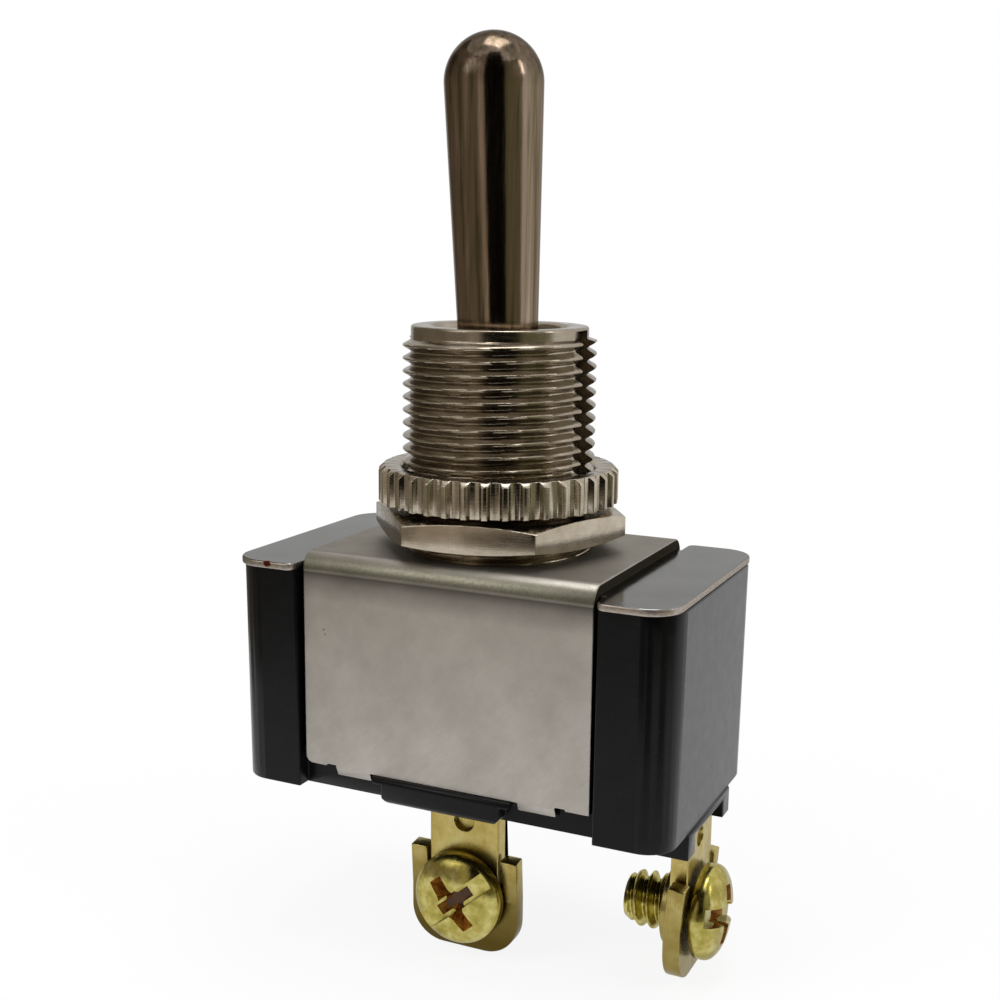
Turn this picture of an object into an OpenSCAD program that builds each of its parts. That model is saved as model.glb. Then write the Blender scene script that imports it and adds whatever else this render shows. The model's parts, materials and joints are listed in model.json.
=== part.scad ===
// Heavy duty panel toggle switch with one pole and two screw terminals.
// Millimetres. The origin is on the bushing's axis, on the frame strap's top face.
// +Z runs up the bushing, X along the body towards the end terminal, -Y is the front.

/* [Frame strap] */
// Width of the strap, along the body
strap_w = 19.05; // [17.5:0.05:20]
// Depth of the strap over its two legs
strap_d = 15.3; // [14.8:0.05:16]
// Height of the strap's legs
strap_h = 13.45; // [12.8:0.05:13.9]
// Thickness of the strap's steel
strap_t = 0.65; // [0.5:0.05:0.8]
// Outside radius of the strap's two bends
strap_bend_r = 1.05; // [0.9:0.05:1.5]
// Radius of the rounded lower corner of each leg
strap_corner_r = 0.5; // [0.3:0.1:1.5]
// Distance from the middle to the inner side of a crimp tongue
tongue_x = 4.95; // [4.9:0.05:5.5]
// Width of a crimp tongue
tongue_w = 2.4; // [1.5:0.1:3]
// Length of a crimp tongue
tongue_l = 0.65; // [0.4:0.05:0.8]
// Angle by which the tongues are bent in under the body
tongue_bend = 25; // [0:1:35]
// Width of the relief slit beside each tongue
relief_w = 0.65; // [0.3:0.05:1]
// Height of the relief slit beside each tongue
relief_h = 0.12; // [0.05:0.01:0.4]

/* [Cover plate] */
// Distance of the cover plate's ends inside the body's ends
cover_inset = 0.07; // [0:0.01:0.5]
// How far the cover plate's lobes stand out in front of the strap
cover_out = 0.8; // [0.45:0.05:1.1]
// Thickness of the cover plate
cover_t = 0.45; // [0.3:0.05:0.6]
// Radius of the cover plate's outer corners
cover_r = 2; // [0.5:0.1:3]
// Radius of the lobes' corners beside the strap
cover_inner_r = 0.5; // [0.2:0.1:0.8]
// Gap between the strap's edge and a lobe
cover_strap_gap = 0.36; // [0.2:0.02:1]
// Width of the cover plate between the stake's hole and the strap's bends
cover_rim = 0.75; // [0.5:0.05:0.9]

/* [Body moulding] */
// Length of the body at its top
body_l = 28.9; // [28:0.1:30]
// How far the body's end blocks stand out in front of the strap
body_out = 0.42; // [0.3:0.02:0.8]
// Height of the body
body_h = 13.93; // [13.5:0.01:15]
// Radius of the body's upright corners
body_r = 2.05; // [1:0.05:3]
// Draft of the body's sides
body_draft = 0.57; // [0:0.01:1.5]
// Gap between the strap's edge and the foot of its recess
recess_gap = 0.28; // [0.1:0.02:0.6]
// How much wider the strap's recess is at its top, on each side
recess_flare = 0.1; // [0:0.05:0.6]
// Width of the lip under the strap, along its upper edge
lip_w = 9.4; // [8:0.1:9.7]
// Width of the lip below its upper edge
lip_low_w = 7.9; // [6:0.1:9]
// Height of the lip's wide upper edge
lip_edge_h = 0.42; // [0.2:0.02:0.8]
// How far the lip stands out in front of the strap
lip_out = 0.35; // [0.1:0.05:0.8]
// Radius of the lip's long edges
lip_r = 0.35; // [0.1:0.05:0.6]
// Thickness of the body's end walls at the chamber
end_wall_t = 2.45; // [2.2:0.05:2.8]
// Inside width of the contact chamber
chamber_w = 9.8; // [9.4:0.1:10.6]
// Thickness of the chamber's floor
floor_t = 3.43; // [3:0.01:4]
// Distance from the middle to the outer side of a terminal guard foot
guard_y = 4.2; // [4:0.05:5]
// Thickness of a terminal guard foot
guard_t = 1.35; // [0.8:0.05:1.55]
// How far a guard foot reaches below the body
guard_h = 1.6; // [1:0.05:2.5]
// Height of the web that joins the guard feet
guard_web_h = 0.45; // [0.3:0.05:0.9]
// Length of the guard feet along the body
guard_l = 2.7; // [2:0.1:4]
// How far the guard's face stands out from the foot of the body's end face
guard_out = 0.09; // [0:0.01:0.14]

/* [Insulating sheet] */
// Length of the insulating sheet
sheet_l = 25.4; // [25:0.1:26.5]
// Width of the insulating sheet
sheet_w = 11.8; // [11:0.1:12.4]
// Thickness of the insulating sheet
sheet_t = 0.35; // [0.2:0.05:0.5]

/* [Bushing] */
// Outside diameter of the bushing's thread
thread_d = 11.906; // [11.8:0.002:12]
// Pitch diameter, which thread and nuts share where they are engaged
engaged_d = 11.4; // [11.3:0.01:11.5]
// Distance from the nuts to the thread that is drawn at its crest
crest_clear = 0.1; // [0.06:0.02:0.3]
// Height of the thread above the mounting face
thread_h = 13.05; // [12:0.05:14]
// Diameter of the plain lead above the thread
lead_d = 10.9; // [10.4:0.1:11.2]
// Height of the plain lead
lead_h = 0.65; // [0.4:0.05:1.5]
// Height of the bevel at the thread's end
thread_bevel = 0.3; // [0.1:0.05:0.4]
// Bevel round the bushing's top
lead_bevel = 0.1; // [0.05:0.05:0.3]
// Diameter of the bushing's bore
bush_bore_d = 7; // [6.9:0.05:7.4]
// Diameter of the bushing's mouth at the top
mouth_d = 8.5; // [8:0.05:8.8]
// Diameter of the throat between the mouth and the bore
throat_d = 6.6; // [6.5:0.05:6.8]
// Depth of the throat below the bushing's top
throat_depth = 3.1; // [2.8:0.1:3.3]
// Width of the keyway
keyway_w = 1.7; // [1.2:0.05:2]
// Depth of the keyway, from the thread's crest
keyway_depth = 0.95; // [0.6:0.05:1.1]
// Height of the keyway's foot above the mounting face
keyway_foot = 1.5; // [0.8:0.1:3]
// Diameter of the neck staked in the strap
neck_d = 10; // [9.8:0.1:10.6]
// Thickness of the staked flange
stake_t = 0.35; // [0.2:0.05:0.4]

/* [Nuts] */
// Size of the hexagon nut across its flats
hex_af = 14; // [13.6:0.1:15]
// Thickness of the hexagon nut
hex_t = 1.8; // [1.5:0.1:2.2]
// Height of the hexagon nut's underside above the mounting face
hex_z = 0.75; // [0.1:0.05:2]
// Turn of the hexagon nut on its thread
hex_turn = 10.5; // [0:0.5:59.5]
// Angle of the hexagon nut's chamfer
hex_chamfer = 15; // [10:1:35]
// Wall of the knurled ring nut outside the thread
ring_wall = 1.517; // [1.25:0.001:1.85]
// Thickness of the knurled ring nut
ring_t = 2.2; // [1.8:0.1:3]
// Gap between the two nuts
nut_gap = 0.38; // [0.1:0.02:2]
// Number of flutes in the knurl
flutes = 38; // [24:1:44]
// Radius of each flute
flute_r = 0.5; // [0.45:0.01:0.65]
// Depth of each flute
flute_depth = 0.34; // [0.26:0.02:0.42]

/* [Lever] */
// Height of the lever's pivot above the mounting face
pivot_z = 8; // [7.5:0.1:8.4]
// Diameter of the lever's rounded tip
tip_d = 6; // [5:0.1:7]
// Distance from the pivot to the middle of the rounded tip
tip_reach = 20; // [14:0.5:26]
// Diameter of the bat at the pivot end
bat_root_d = 4.44; // [4.2:0.02:4.8]
// Diameter of the lever's ball
ball_d = 6.84; // [6.7:0.02:6.9]
// Diameter of the hollow stem below the ball
stem_d = 3.9; // [3.7:0.05:4]
// Distance from the pivot to the stem's lower end
stem_reach = 11.2; // [10.6:0.1:11.6]
// Swing of the lever to each side of upright
lever_throw = 12.5; // [8:0.5:13]
// Lean of the lever as it is left standing
lever_lean = -1.6; // [-8:0.1:8]
// Diameter of the pivot pin
pin_d = 1.6; // [1.4:0.05:1.8]
// Length of the pivot pin
pin_l = 8.6; // [8:0.1:8.8]

/* [Plunger and spring] */
// Diameter of the plunger
plunger_d = 2.4; // [2:0.05:2.6]
// Length of the plunger's shank inside the stem
plunger_in = 3.9; // [3:0.1:4.4]
// Diameter of the spigot that holds the spring
spigot_d = 1.2; // [0.8:0.05:1.3]
// Length of the spigot
spigot_l = 0.8; // [0.5:0.1:1.2]
// Diameter of the spring's wire
wire_d = 0.3; // [0.2:0.02:0.36]
// Number of turns in the spring
spring_turns = 7; // [4:1:9]
// Travel of the plunger into the stem
plunger_travel = 0.6; // [0.2:0.1:1]

/* [Rocker and contacts] */
// Depth of the rocker's axis below the mounting face
rocker_depth = 8; // [7.8:0.05:8.2]
// Turn of the rocker for each degree of the lever
rocker_ratio = 0.5; // [0.4:0.05:0.6]
// Thickness of the rocker
rocker_t = 0.8; // [0.6:0.05:0.9]
// Width of the rocker's arms
rocker_w = 3.8; // [3:0.1:4.2]
// Distance of the rocker arms' ends from the chamber's ends
arm_gap = 0.7; // [0.5:0.05:1]
// Rise of the arms above the middle of the rocker
arm_rise = 0.5; // [0.2:0.05:0.6]
// Half length of the rocker's low middle
arm_start = 2; // [1.6:0.1:2.6]
// Half length at which the arms are level again
arm_end = 5; // [4:0.1:6]
// Diameter of the rocker's side trunnions
trunnion_d = 0.9; // [0.7:0.05:1]
// Distance from the end terminal's face in to the contacts' axis
contact_inset = 4.18; // [4.1:0.02:4.8]
// Diameter of the contact buttons
contact_d = 3; // [2.4:0.1:3.2]
// Height of the moving contact's button
contact_h = 0.6; // [0.4:0.05:0.8]
// Height of the domed part of each button
contact_dome = 0.2; // [0.1:0.02:0.3]
// Diameter of the contact's rivet shank
contact_shank_d = 1.6; // [1.2:0.1:1.8]
// Space left between the closed contacts
contact_gap = 0.1; // [0.05:0.01:0.2]
// Thickness of the fulcrum saddle's brass
saddle_t = 0.8; // [0.6:0.05:0.9]
// Length of the saddle's side walls along the body
saddle_wall_l = 3.2; // [2.4:0.1:4]
// Length of the saddle's base along the body
saddle_l = 4.4; // [3.4:0.1:5]
// Diameter of the saddle's rivet
rivet_d = 1.6; // [1.2:0.1:1.8]

/* [Terminals] */
// Thickness of the terminals' brass
term_t = 1.05; // [0.8:0.05:1.1]
// Width of a terminal's neck
term_neck_w = 4.75; // [4:0.05:4.8]
// Width of a terminal's wire plate
term_plate_w = 7.3; // [6.6:0.1:8]
// Depth of the screw axis below the body
screw_drop = 6.53; // [6:0.01:8]
// Distance from the screw axis to the terminal's tail end
tail_l = 3.64; // [3.2:0.02:4.5]
// Radius of the tail's corners
tail_r = 2.2; // [1:0.1:3]
// Distance from the screw axis up to the ears' tops
ear_l = 2.66; // [2:0.02:3.4]
// Width of the slit between an ear and the neck
slit_w = 0.14; // [0.1:0.02:0.3]
// Angle by which the ears lean out over the wire
ear_bend = 4.5; // [0:0.5:12]
// Diameter of the half-punched locating mark in a terminal's neck
mark_d = 1.28; // [0.8:0.02:1.6]
// Depth to which the mark is pushed through to the back
mark_depth = 0.5; // [0.2:0.05:0.6]
// Distance of the mark's middle below the body
mark_drop = 1.75; // [1.2:0.01:2.2]
// Distance from the bushing's axis to the front face of the centre terminal
center_term_y = 4.5; // [4.3:0.05:4.8]
// Distance from the body's end in to the end terminal's outer face
end_term_inset = 0.57; // [0.5:0.01:0.85]
// Diameter of the tapped collar behind a wire plate
collar_d = 4.9; // [4.4:0.1:5.4]
// Height of the tapped collar
collar_h = 0.65; // [0.4:0.05:1.2]
// Inside radius of the terminals' inner bend
term_bend_r = 0.3; // [0.2:0.05:0.5]
// Length of the centre terminal's inner foot
center_foot_l = 7.7; // [7.4:0.1:8.2]
// Length of the end terminal's inner foot
end_foot_l = 6; // [5.8:0.1:6.6]

/* [Terminal screws] */
// Diameter of the screws' thread
screw_d = 3.5; // [3:0.05:3.6]
// Length of the screws under the head
screw_l = 4.7; // [4:0.1:6.5]
// Diameter of the screw heads
head_d = 5.85; // [5.4:0.05:6.6]
// Height of the straight rim of a screw head
head_rim = 0.75; // [0.5:0.05:1]
// Full height of a screw head
head_h = 1.65; // [1.3:0.05:2]
// Space under a screw head as it is left
head_gap = 0.26; // [0.1:0.02:1]
// Width of the screwdriver slot
slot_w = 1.1; // [0.8:0.05:1.3]
// Depth of the screwdriver slot
slot_depth = 0.85; // [0.5:0.05:1]
// Width of the cross recess
cross_w = 0.95; // [0.7:0.05:1.1]
// Length of the cross recess over its wings
cross_l = 3.8; // [3:0.1:4.4]
// Turn of the centre screw's slot
center_slot_turn = 34; // [0:1:179]
// Turn of the end screw's slot
end_slot_turn = 12; // [0:1:179]

/* [Fits] */
// Running clearance on a radius
run_gap = 0.05; // [0.02:0.01:0.08]
// Clearance round pieces that are fixed in the moulding
seat_gap = 0.03; // [0.01:0.01:0.06]
// Clearance of a pressed or riveted piece on its radius
press_gap = 0.01; // [0:0.005:0.02]

/* [Hidden] */

$fn = 64;
eps = 0.01;
far = 60;

// Colours of the real finishes
black_phenolic = "#232325";
grey_steel = "#8f8d88";
dull_zinc = "#a19c93";
nickel = "#a59f90";
dark_nickel = "#7d776c";
brass = "#b9a45e";
yellow_brass = "#c9ac4a";
silver = "#c9c8c4";
fibre = "#6b5a45";
nylon = "#e3dfd2";

// Lengths and depths that follow the strap and the body
body_w = strap_d + 2 * body_out;
cover_w = strap_d + 2 * cover_out;
cover_l = body_l - 2 * cover_inset;
chamber_l = body_l - 2 * end_wall_t;
end_term_x = body_l / 2 - end_term_inset;
contact_x = end_term_x - contact_inset;
arm_l = chamber_l / 2 - arm_gap;

// Levels, downwards from the mounting face
cover_top = -strap_t;
body_top = cover_top - cover_t;
body_bottom = body_top - body_h;
floor_top = body_bottom + floor_t;
foot_top = floor_top + term_t;
strap_bottom = -strap_h;
screw_z = body_bottom - screw_drop;

// Strap and its recess
strap_inner_y = strap_d / 2 - strap_t;
recess_y = strap_inner_y - seat_gap;
recess_foot_x = strap_w / 2 + recess_gap;
draft_in = body_h * tan(body_draft);
tongue_room = 0.08;
lip_top = strap_bottom - seat_gap;
lip_slant = 0.2;

// Rocker and lever
rocker_z = -rocker_depth;
rocker_lean = -rocker_ratio * lever_lean;
rocker_swing = rocker_ratio * lever_throw;
arm_under = rocker_z - rocker_t / 2 + arm_rise;
contact_low = arm_under - contact_h;
fixed_top = rocker_z + (contact_low - rocker_z) * cos(rocker_swing)
            - contact_x * sin(rocker_swing) - contact_gap;
stop_top = rocker_z + (arm_under - rocker_z) * cos(rocker_swing)
           - arm_l * sin(rocker_swing) - run_gap;
stem_bore_d = plunger_d + 2 * run_gap;
stem_bore_end = ball_d / 2 - 1;
plunger_tip = pivot_z - rocker_z - rocker_t / 2 - 2 * run_gap;
plunger_top = stem_reach - plunger_in;
bushing_top = thread_h + lead_h;
nut_bore_d = engaged_d + 2 * run_gap;
ring_d = thread_d + 2 * ring_wall;
ring_z = hex_z + hex_t + nut_gap;
nuts_top = ring_z + ring_t;
crest_z = nuts_top + crest_clear;

// Bevels of the nuts: lead into the bore, hexagon's flat land, knurled ring's edge
nut_lead = 0.25;
hex_land = 0.1;
ring_bevel = 0.3;
ring_foot_bevel = 0.08;

// Dead stop for the rocker: length, and how far it reaches past the arm's end
stop_l = 1.8;
stop_past = 0.2;

// Upset heads of the contact's tail and the saddle's rivet
tail_head_h = 0.3;
tail_head_out = 0.35;
rivet_head_h = 0.45;
rivet_head_out = 0.5;

// Terminal screws: pointed end, and how much deeper the cross is than the slot
screw_point = 0.6;
cross_sink = 0.25;
mark_taper = 0.1;

// Bushing's throat and the flare at its foot
throat_z = bushing_top - throat_depth;
throat_lead = 0.4;
stake_bottom = -strap_t - stake_t;
stem_side = stem_d / 2 / cos(lever_throw);
flare_room = 0.2;
flare_d = 2 * ((pivot_z - stake_bottom) * tan(lever_throw) + stem_side + flare_room);
flare_h = 2.6;
stake_room = 0.25;
stake_d = strap_d - 2 * (strap_bend_r + stake_room + cover_rim);

// Half length of the sheet's slot, which the stem swings in
slot_room = 0.4;
sheet_slot_x = (pivot_z - body_top + sheet_t) * tan(lever_throw) + stem_side + slot_room;

// Fulcrum saddle and its rivet
saddle_side_gap = 0.35;
saddle_base_w = rocker_w + 2 * (saddle_side_gap + saddle_t);
trunnion_l = saddle_base_w + 0.2;
rivet_hole_d = rivet_d + 2 * press_gap;

// Facets of the spring's wire
wire_sides = 8;
steps_per_turn = 16;

// ---- plain shapes ----

// Rectangle from x0 to x1, centred on y = 0, with its own radius at each end
module rounded_rect(x0, x1, w, r0, r1) {
    for (side = [-1, 1]) {
        translate([x0 + r0, side * (w / 2 - r0)]) circle(r = r0);
        translate([x1 - r1, side * (w / 2 - r1)]) circle(r = r1);
    }
    translate([x0 + r0, -w / 2]) square([x1 - x0 - r0 - r1, w]);
    translate([x0, -(w / 2 - r0)]) square([r0 + eps, w - 2 * r0]);
    translate([x1 - r1 - eps, -(w / 2 - r1)]) square([r1 + eps, w - 2 * r1]);
}

// Rectangle centred on the origin with four equal corners
module plain_rounded(l, w, r) {
    rounded_rect(-l / 2, l / 2, w, r, r);
}

// Slab of a flat outline between two levels
module slab(z0, z1) {
    translate([0, 0, z0]) linear_extrude(height = z1 - z0) children();
}

// Outline drawn in the X-Z plane, drawn out along Y from y0 to y1
module along_y(y0, y1) {
    translate([0, y1, 0]) rotate([90, 0, 0]) linear_extrude(height = y1 - y0) children();
}

// Outline drawn in the Y-Z plane, drawn out along X from x0 to x1
module along_x(x0, x1) {
    translate([x0, 0, 0]) rotate([90, 0, 90]) linear_extrude(height = x1 - x0) children();
}

// Bar with a slot's rounded ends, along X
module slot_outline(l, w) {
    plain_rounded(l, w, w / 2 - eps);
}

// ---- body moulding ----

// Side view of the drafted body, for a half length at the top
module drafted_side(half) {
    foot = half - draft_in;
    polygon([[-half, body_top], [-foot, body_bottom], [foot, body_bottom], [half, body_top]]);
}

// Drafted block: two crossed blocks with a cone at each corner, set in by eps
module body_block() {
    along_y(-body_w / 2 + body_r, body_w / 2 - body_r) drafted_side(body_l / 2);
    along_x(-body_l / 2 + body_r, body_l / 2 - body_r) drafted_side(body_w / 2);
    for (x = [-1, 1], y = [-1, 1])
        translate([x * (body_l / 2 - body_r), y * (body_w / 2 - body_r), body_bottom])
            cylinder(r1 = body_r - draft_in - eps, r2 = body_r - eps, h = body_h);
}

// The recess that takes one leg of the strap, wider at its top
module strap_recess() {
    top_x = recess_foot_x + recess_flare;
    along_y(-body_w, -recess_y)
        polygon([[-recess_foot_x, body_bottom - 1], [recess_foot_x, body_bottom - 1],
                 [recess_foot_x, body_bottom], [top_x, body_top], [top_x, body_top + 1],
                 [-top_x, body_top + 1], [-top_x, body_top], [-recess_foot_x, body_bottom]]);
}

// Side view of one crimped tongue, grown by a clearance
module tongue_side(grow) {
    inward = [sin(tongue_bend), -cos(tongue_bend)];
    across = [cos(tongue_bend), sin(tongue_bend)];
    outer = [-strap_d / 2, strap_bottom];
    inner = [-strap_inner_y, strap_bottom];
    reach = tongue_l + grow;
    polygon([outer + [-grow, eps], outer + [-grow, 0],
             outer + reach * inward - grow * across,
             outer + reach * inward + (strap_t + grow) * across,
             inner + [grow, strap_t * tan(tongue_bend / 2)],
             inner + [grow, strap_t]]);
}

module tongue_spans(grow) {
    for (side = [-1, 1])
        translate([side * (tongue_x + tongue_w / 2), 0, 0])
            along_x(-tongue_w / 2 - grow, tongue_w / 2 + grow) children();
}

// Front view of the lip: a wide upper edge over a narrower bar
module lip_front() {
    half = lip_w / 2;
    low = lip_low_w / 2;
    step = lip_top - lip_edge_h;
    for (side = [0, 1])
        mirror([side, 0])
            polygon([[-eps, lip_top], [half, lip_top], [half - lip_slant, step], [low, step],
                     [low, body_bottom + lip_r], [low - lip_r, body_bottom], [-eps, body_bottom]]);
}

// Lip under the strap, with rounded long edges
module lip() {
    front = -(strap_d / 2 + lip_out);
    root = -recess_y + 0.5;
    intersection() {
        along_y(front - 1, root) lip_front();
        along_x(-lip_w, lip_w) {
            for (z = [lip_top - lip_r, body_bottom + lip_r])
                translate([front + lip_r, z]) circle(r = lip_r);
            translate([front + lip_r, body_bottom]) square([root - front, lip_top - body_bottom]);
            translate([front, body_bottom + lip_r])
                square([lip_r + eps, lip_top - body_bottom - 2 * lip_r]);
        }
    }
}

// Two feet and a web that guard the end terminal where it leaves the body
module terminal_guard() {
    face = body_l / 2 - draft_in + guard_out;
    slab(body_bottom - guard_web_h, body_bottom + eps)
        translate([face - guard_l, -guard_y]) square([guard_l, 2 * guard_y]);
    for (side = [-1, 1])
        slab(body_bottom - guard_h, body_bottom + eps)
            translate([face - guard_l, side * (guard_y - guard_t / 2) - guard_t / 2])
                square([guard_l, guard_t]);
}

// Slot through the floor for a terminal, drawn as the terminal is, with room for its inner bend
module terminal_slot() {
    half = term_neck_w / 2 + seat_gap;
    back = term_t + seat_gap;
    floor_up = floor_top - screw_z;
    translate([-half, -seat_gap, 0]) cube([2 * half, back + seat_gap, floor_up + eps]);
    translate([0, 0, floor_up]) along_x(-half, half)
        polygon([[back - eps, eps], [back + term_bend_r, eps], [back - eps, -term_bend_r - eps]]);
}

module housing() color(black_phenolic) {
    pocket_l = end_term_x + seat_gap - chamber_l / 2;
    w = term_neck_w + 2 * seat_gap;
    difference() {
        union() {
            difference() {
                body_block();
                strap_recess();
                mirror([0, 1, 0]) strap_recess();
            }
            lip();
            mirror([0, 1, 0]) lip();
            terminal_guard();
        }
        for (turn = [0, 180])
            rotate([0, 0, turn]) tongue_spans(tongue_room) tongue_side(tongue_room);
        slab(body_top - sheet_t, body_top + 1)
            plain_rounded(sheet_l + 2 * seat_gap, sheet_w + 2 * seat_gap, 1);
        slab(floor_top, body_top + 1) plain_rounded(chamber_l, chamber_w, 1);
        at_center_terminal() terminal_slot();
        at_end_terminal() terminal_slot();
        slab(floor_top, foot_top + seat_gap)
            translate([chamber_l / 2 - eps, -w / 2]) square([pocket_l + eps, w]);
    }
    // Dead stop under the rocker's free arm
    slab(floor_top - eps, stop_top)
        translate([-arm_l - stop_past, -rocker_w / 2]) square([stop_l, rocker_w]);
}

// ---- cover, sheet and strap ----

module cover_outline() {
    lobe_x = strap_w / 2 + cover_strap_gap;
    for (side = [0, 1])
        mirror([side, 0]) rounded_rect(lobe_x, cover_l / 2, cover_w, cover_inner_r, cover_r);
    square([2 * lobe_x + 4 * cover_inner_r, strap_d - 2 * strap_bend_r], center = true);
}

module cover_plate() color(grey_steel)
    slab(body_top, cover_top) difference() {
        cover_outline();
        circle(d = stake_d + 2 * stake_room);
    }

module insulating_sheet() color(fibre)
    slab(body_top - sheet_t, body_top) difference() {
        plain_rounded(sheet_l, sheet_w, 1);
        slot_outline(2 * sheet_slot_x, stem_d + 2 * slot_room);
    }

// Side view of the bent strap
module strap_side() {
    inner_r = strap_bend_r - strap_t;
    difference() {
        translate([0, strap_bottom]) {
            translate([-strap_d / 2, 0]) square([strap_d, strap_h - strap_bend_r]);
            translate([-strap_d / 2 + strap_bend_r, 0]) square([strap_d - 2 * strap_bend_r, strap_h]);
            for (side = [-1, 1])
                translate([side * (strap_d / 2 - strap_bend_r), strap_h - strap_bend_r])
                    circle(r = strap_bend_r);
        }
        translate([-strap_inner_y, -far]) square([2 * strap_inner_y, far - strap_t - inner_r]);
        translate([-strap_inner_y + inner_r, -far])
            square([2 * (strap_inner_y - inner_r), far - strap_t]);
        for (side = [-1, 1])
            translate([side * (strap_inner_y - inner_r), -strap_t - inner_r]) circle(r = inner_r);
    }
}

// Front view of one leg's rounded lower corner, as the piece to cut away
module corner_cut(r) {
    difference() {
        square([r + 1, r + 1]);
        circle(r = r);
    }
}

module frame_strap() color(dull_zinc) {
    difference() {
        along_x(-strap_w / 2, strap_w / 2) strap_side();
        cylinder(d = neck_d + 2 * press_gap, h = far, center = true);
        for (turn = [0, 180]) rotate([0, 0, turn]) {
            along_y(-strap_d, 0)
                translate([-strap_w / 2 + strap_corner_r, strap_bottom + strap_corner_r])
                    rotate(180) corner_cut(strap_corner_r);
            for (side = [-1, 1])
                translate([side * (tongue_x + tongue_w + relief_w / 2), 0, 0])
                    along_y(-strap_d, 0)
                        translate([-relief_w / 2, strap_bottom - 1]) square([relief_w, 1 + relief_h]);
        }
    }
    for (turn = [0, 180])
        rotate([0, 0, turn]) tongue_spans(0) tongue_side(0);
}

// ---- bushing and nuts ----

module bushing() color(nickel) {
    channel_w = pin_d + 2 * run_gap;
    channel_y = pin_l / 2 + run_gap;
    difference() {
        union() {
            cylinder(d = engaged_d, h = crest_z + eps);
            translate([0, 0, crest_z]) cylinder(d = thread_d, h = thread_h - thread_bevel - crest_z);
            translate([0, 0, thread_h - thread_bevel])
                cylinder(d1 = thread_d, d2 = lead_d, h = thread_bevel);
            translate([0, 0, thread_h]) cylinder(d = lead_d, h = lead_h - lead_bevel);
            translate([0, 0, bushing_top - lead_bevel])
                cylinder(d1 = lead_d, d2 = lead_d - 2 * lead_bevel, h = lead_bevel);
            translate([0, 0, -strap_t]) cylinder(d = neck_d, h = strap_t + eps);
            translate([0, 0, stake_bottom]) cylinder(d = stake_d, h = stake_t);
        }
        // mouth, throat, bore and the flare that the stem swings in
        translate([0, 0, bushing_top - throat_depth])
            cylinder(d1 = throat_d, d2 = mouth_d, h = throat_depth + eps);
        translate([0, 0, stake_bottom - 1])
            cylinder(d = bush_bore_d, h = throat_z - throat_lead - stake_bottom + 1);
        translate([0, 0, throat_z - throat_lead - eps])
            cylinder(d1 = bush_bore_d, d2 = throat_d, h = throat_lead + 2 * eps);
        translate([0, 0, stake_bottom - eps])
            cylinder(d1 = flare_d, d2 = bush_bore_d, h = flare_h);
        // channels that hold the ends of the pivot pin
        for (side = [-1, 1])
            translate([-channel_w / 2, side > 0 ? 0 : -channel_y, stake_bottom - 1])
                cube([channel_w, channel_y, pivot_z - stake_bottom + 1]);
        translate([0, 0, pivot_z]) rotate([90, 0, 0])
            cylinder(d = channel_w, h = 2 * channel_y, center = true);
        // keyway
        translate([thread_d / 2 - keyway_depth, -keyway_w / 2, keyway_foot])
            cube([keyway_depth + 1, keyway_w, far]);
    }
}

// Nut blank bevelled on both sides: a body of revolution round the corners of a hexagon
module bevelled_disc(r_flat, r_corner, t, angle) {
    drop = (r_corner - r_flat) * tan(angle);
    rotate_extrude($fn = 96)
        polygon([[0, 0], [r_flat, 0], [r_corner, drop], [r_corner, t - drop], [r_flat, t], [0, t]]);
}

module hex_nut() color(nickel)
    translate([0, 0, hex_z]) rotate([0, 0, hex_turn]) difference() {
        intersection() {
            cylinder(d = hex_af / cos(30), h = hex_t, $fn = 6);
            bevelled_disc(hex_af / 2 - hex_land, hex_af / 2 / cos(30) + hex_land, hex_t, hex_chamfer);
        }
        nut_bore(hex_t);
    }

// Bore of a nut with a small lead on both sides
module nut_bore(t) {
    wide_d = nut_bore_d + 2 * nut_lead;
    translate([0, 0, -eps]) cylinder(d = nut_bore_d, h = t + 2 * eps);
    translate([0, 0, -eps]) cylinder(d1 = wide_d, d2 = nut_bore_d, h = nut_lead);
    translate([0, 0, t - nut_lead + eps]) cylinder(d1 = nut_bore_d, d2 = wide_d, h = nut_lead);
}

module knurled_nut() color(nickel)
    translate([0, 0, ring_z]) difference() {
        rotate_extrude($fn = 96)
            polygon([[0, 0], [ring_d / 2 - ring_foot_bevel, 0], [ring_d / 2, ring_foot_bevel],
                     [ring_d / 2, ring_t - ring_bevel], [ring_d / 2 - ring_bevel, ring_t],
                     [0, ring_t]]);
        for (i = [0 : flutes - 1])
            rotate([0, 0, i * 360 / flutes])
                translate([ring_d / 2 - flute_depth + flute_r, 0, -1])
                    cylinder(r = flute_r, h = ring_t + 2, $fn = 16);
        nut_bore(ring_t);
    }

// ---- lever, pin, plunger and spring: drawn upright round the pivot ----

module at_lever() {
    translate([0, 0, pivot_z]) rotate([0, lever_lean, 0]) children();
}

module lever() color(dark_nickel) at_lever() {
    taper = atan((tip_d - bat_root_d) / 2 / tip_reach);
    difference() {
        union() {
            translate([0, 0, tip_reach]) sphere(d = tip_d);
            cylinder(d1 = bat_root_d, d2 = tip_d * cos(taper), h = tip_reach - tip_d / 2 * sin(taper));
            sphere(d = ball_d);
            translate([0, 0, -stem_reach]) cylinder(d = stem_d, h = stem_reach);
        }
        translate([0, 0, -stem_reach - 1]) cylinder(d = stem_bore_d, h = stem_reach + 1 - stem_bore_end);
        rotate([90, 0, 0]) cylinder(d = pin_d + 2 * press_gap, h = far, center = true);
    }
}

module pivot_pin() color(grey_steel) at_lever()
    rotate([90, 0, 0]) cylinder(d = pin_d, h = pin_l, center = true);

module plunger() color(nylon) at_lever() {
    nose = plunger_tip - plunger_d / 2;
    translate([0, 0, -nose]) sphere(d = plunger_d);
    translate([0, 0, -nose]) cylinder(d = plunger_d, h = nose - plunger_top);
    translate([0, 0, -plunger_top - eps]) cylinder(d = spigot_d, h = spigot_l + eps);
}

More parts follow.
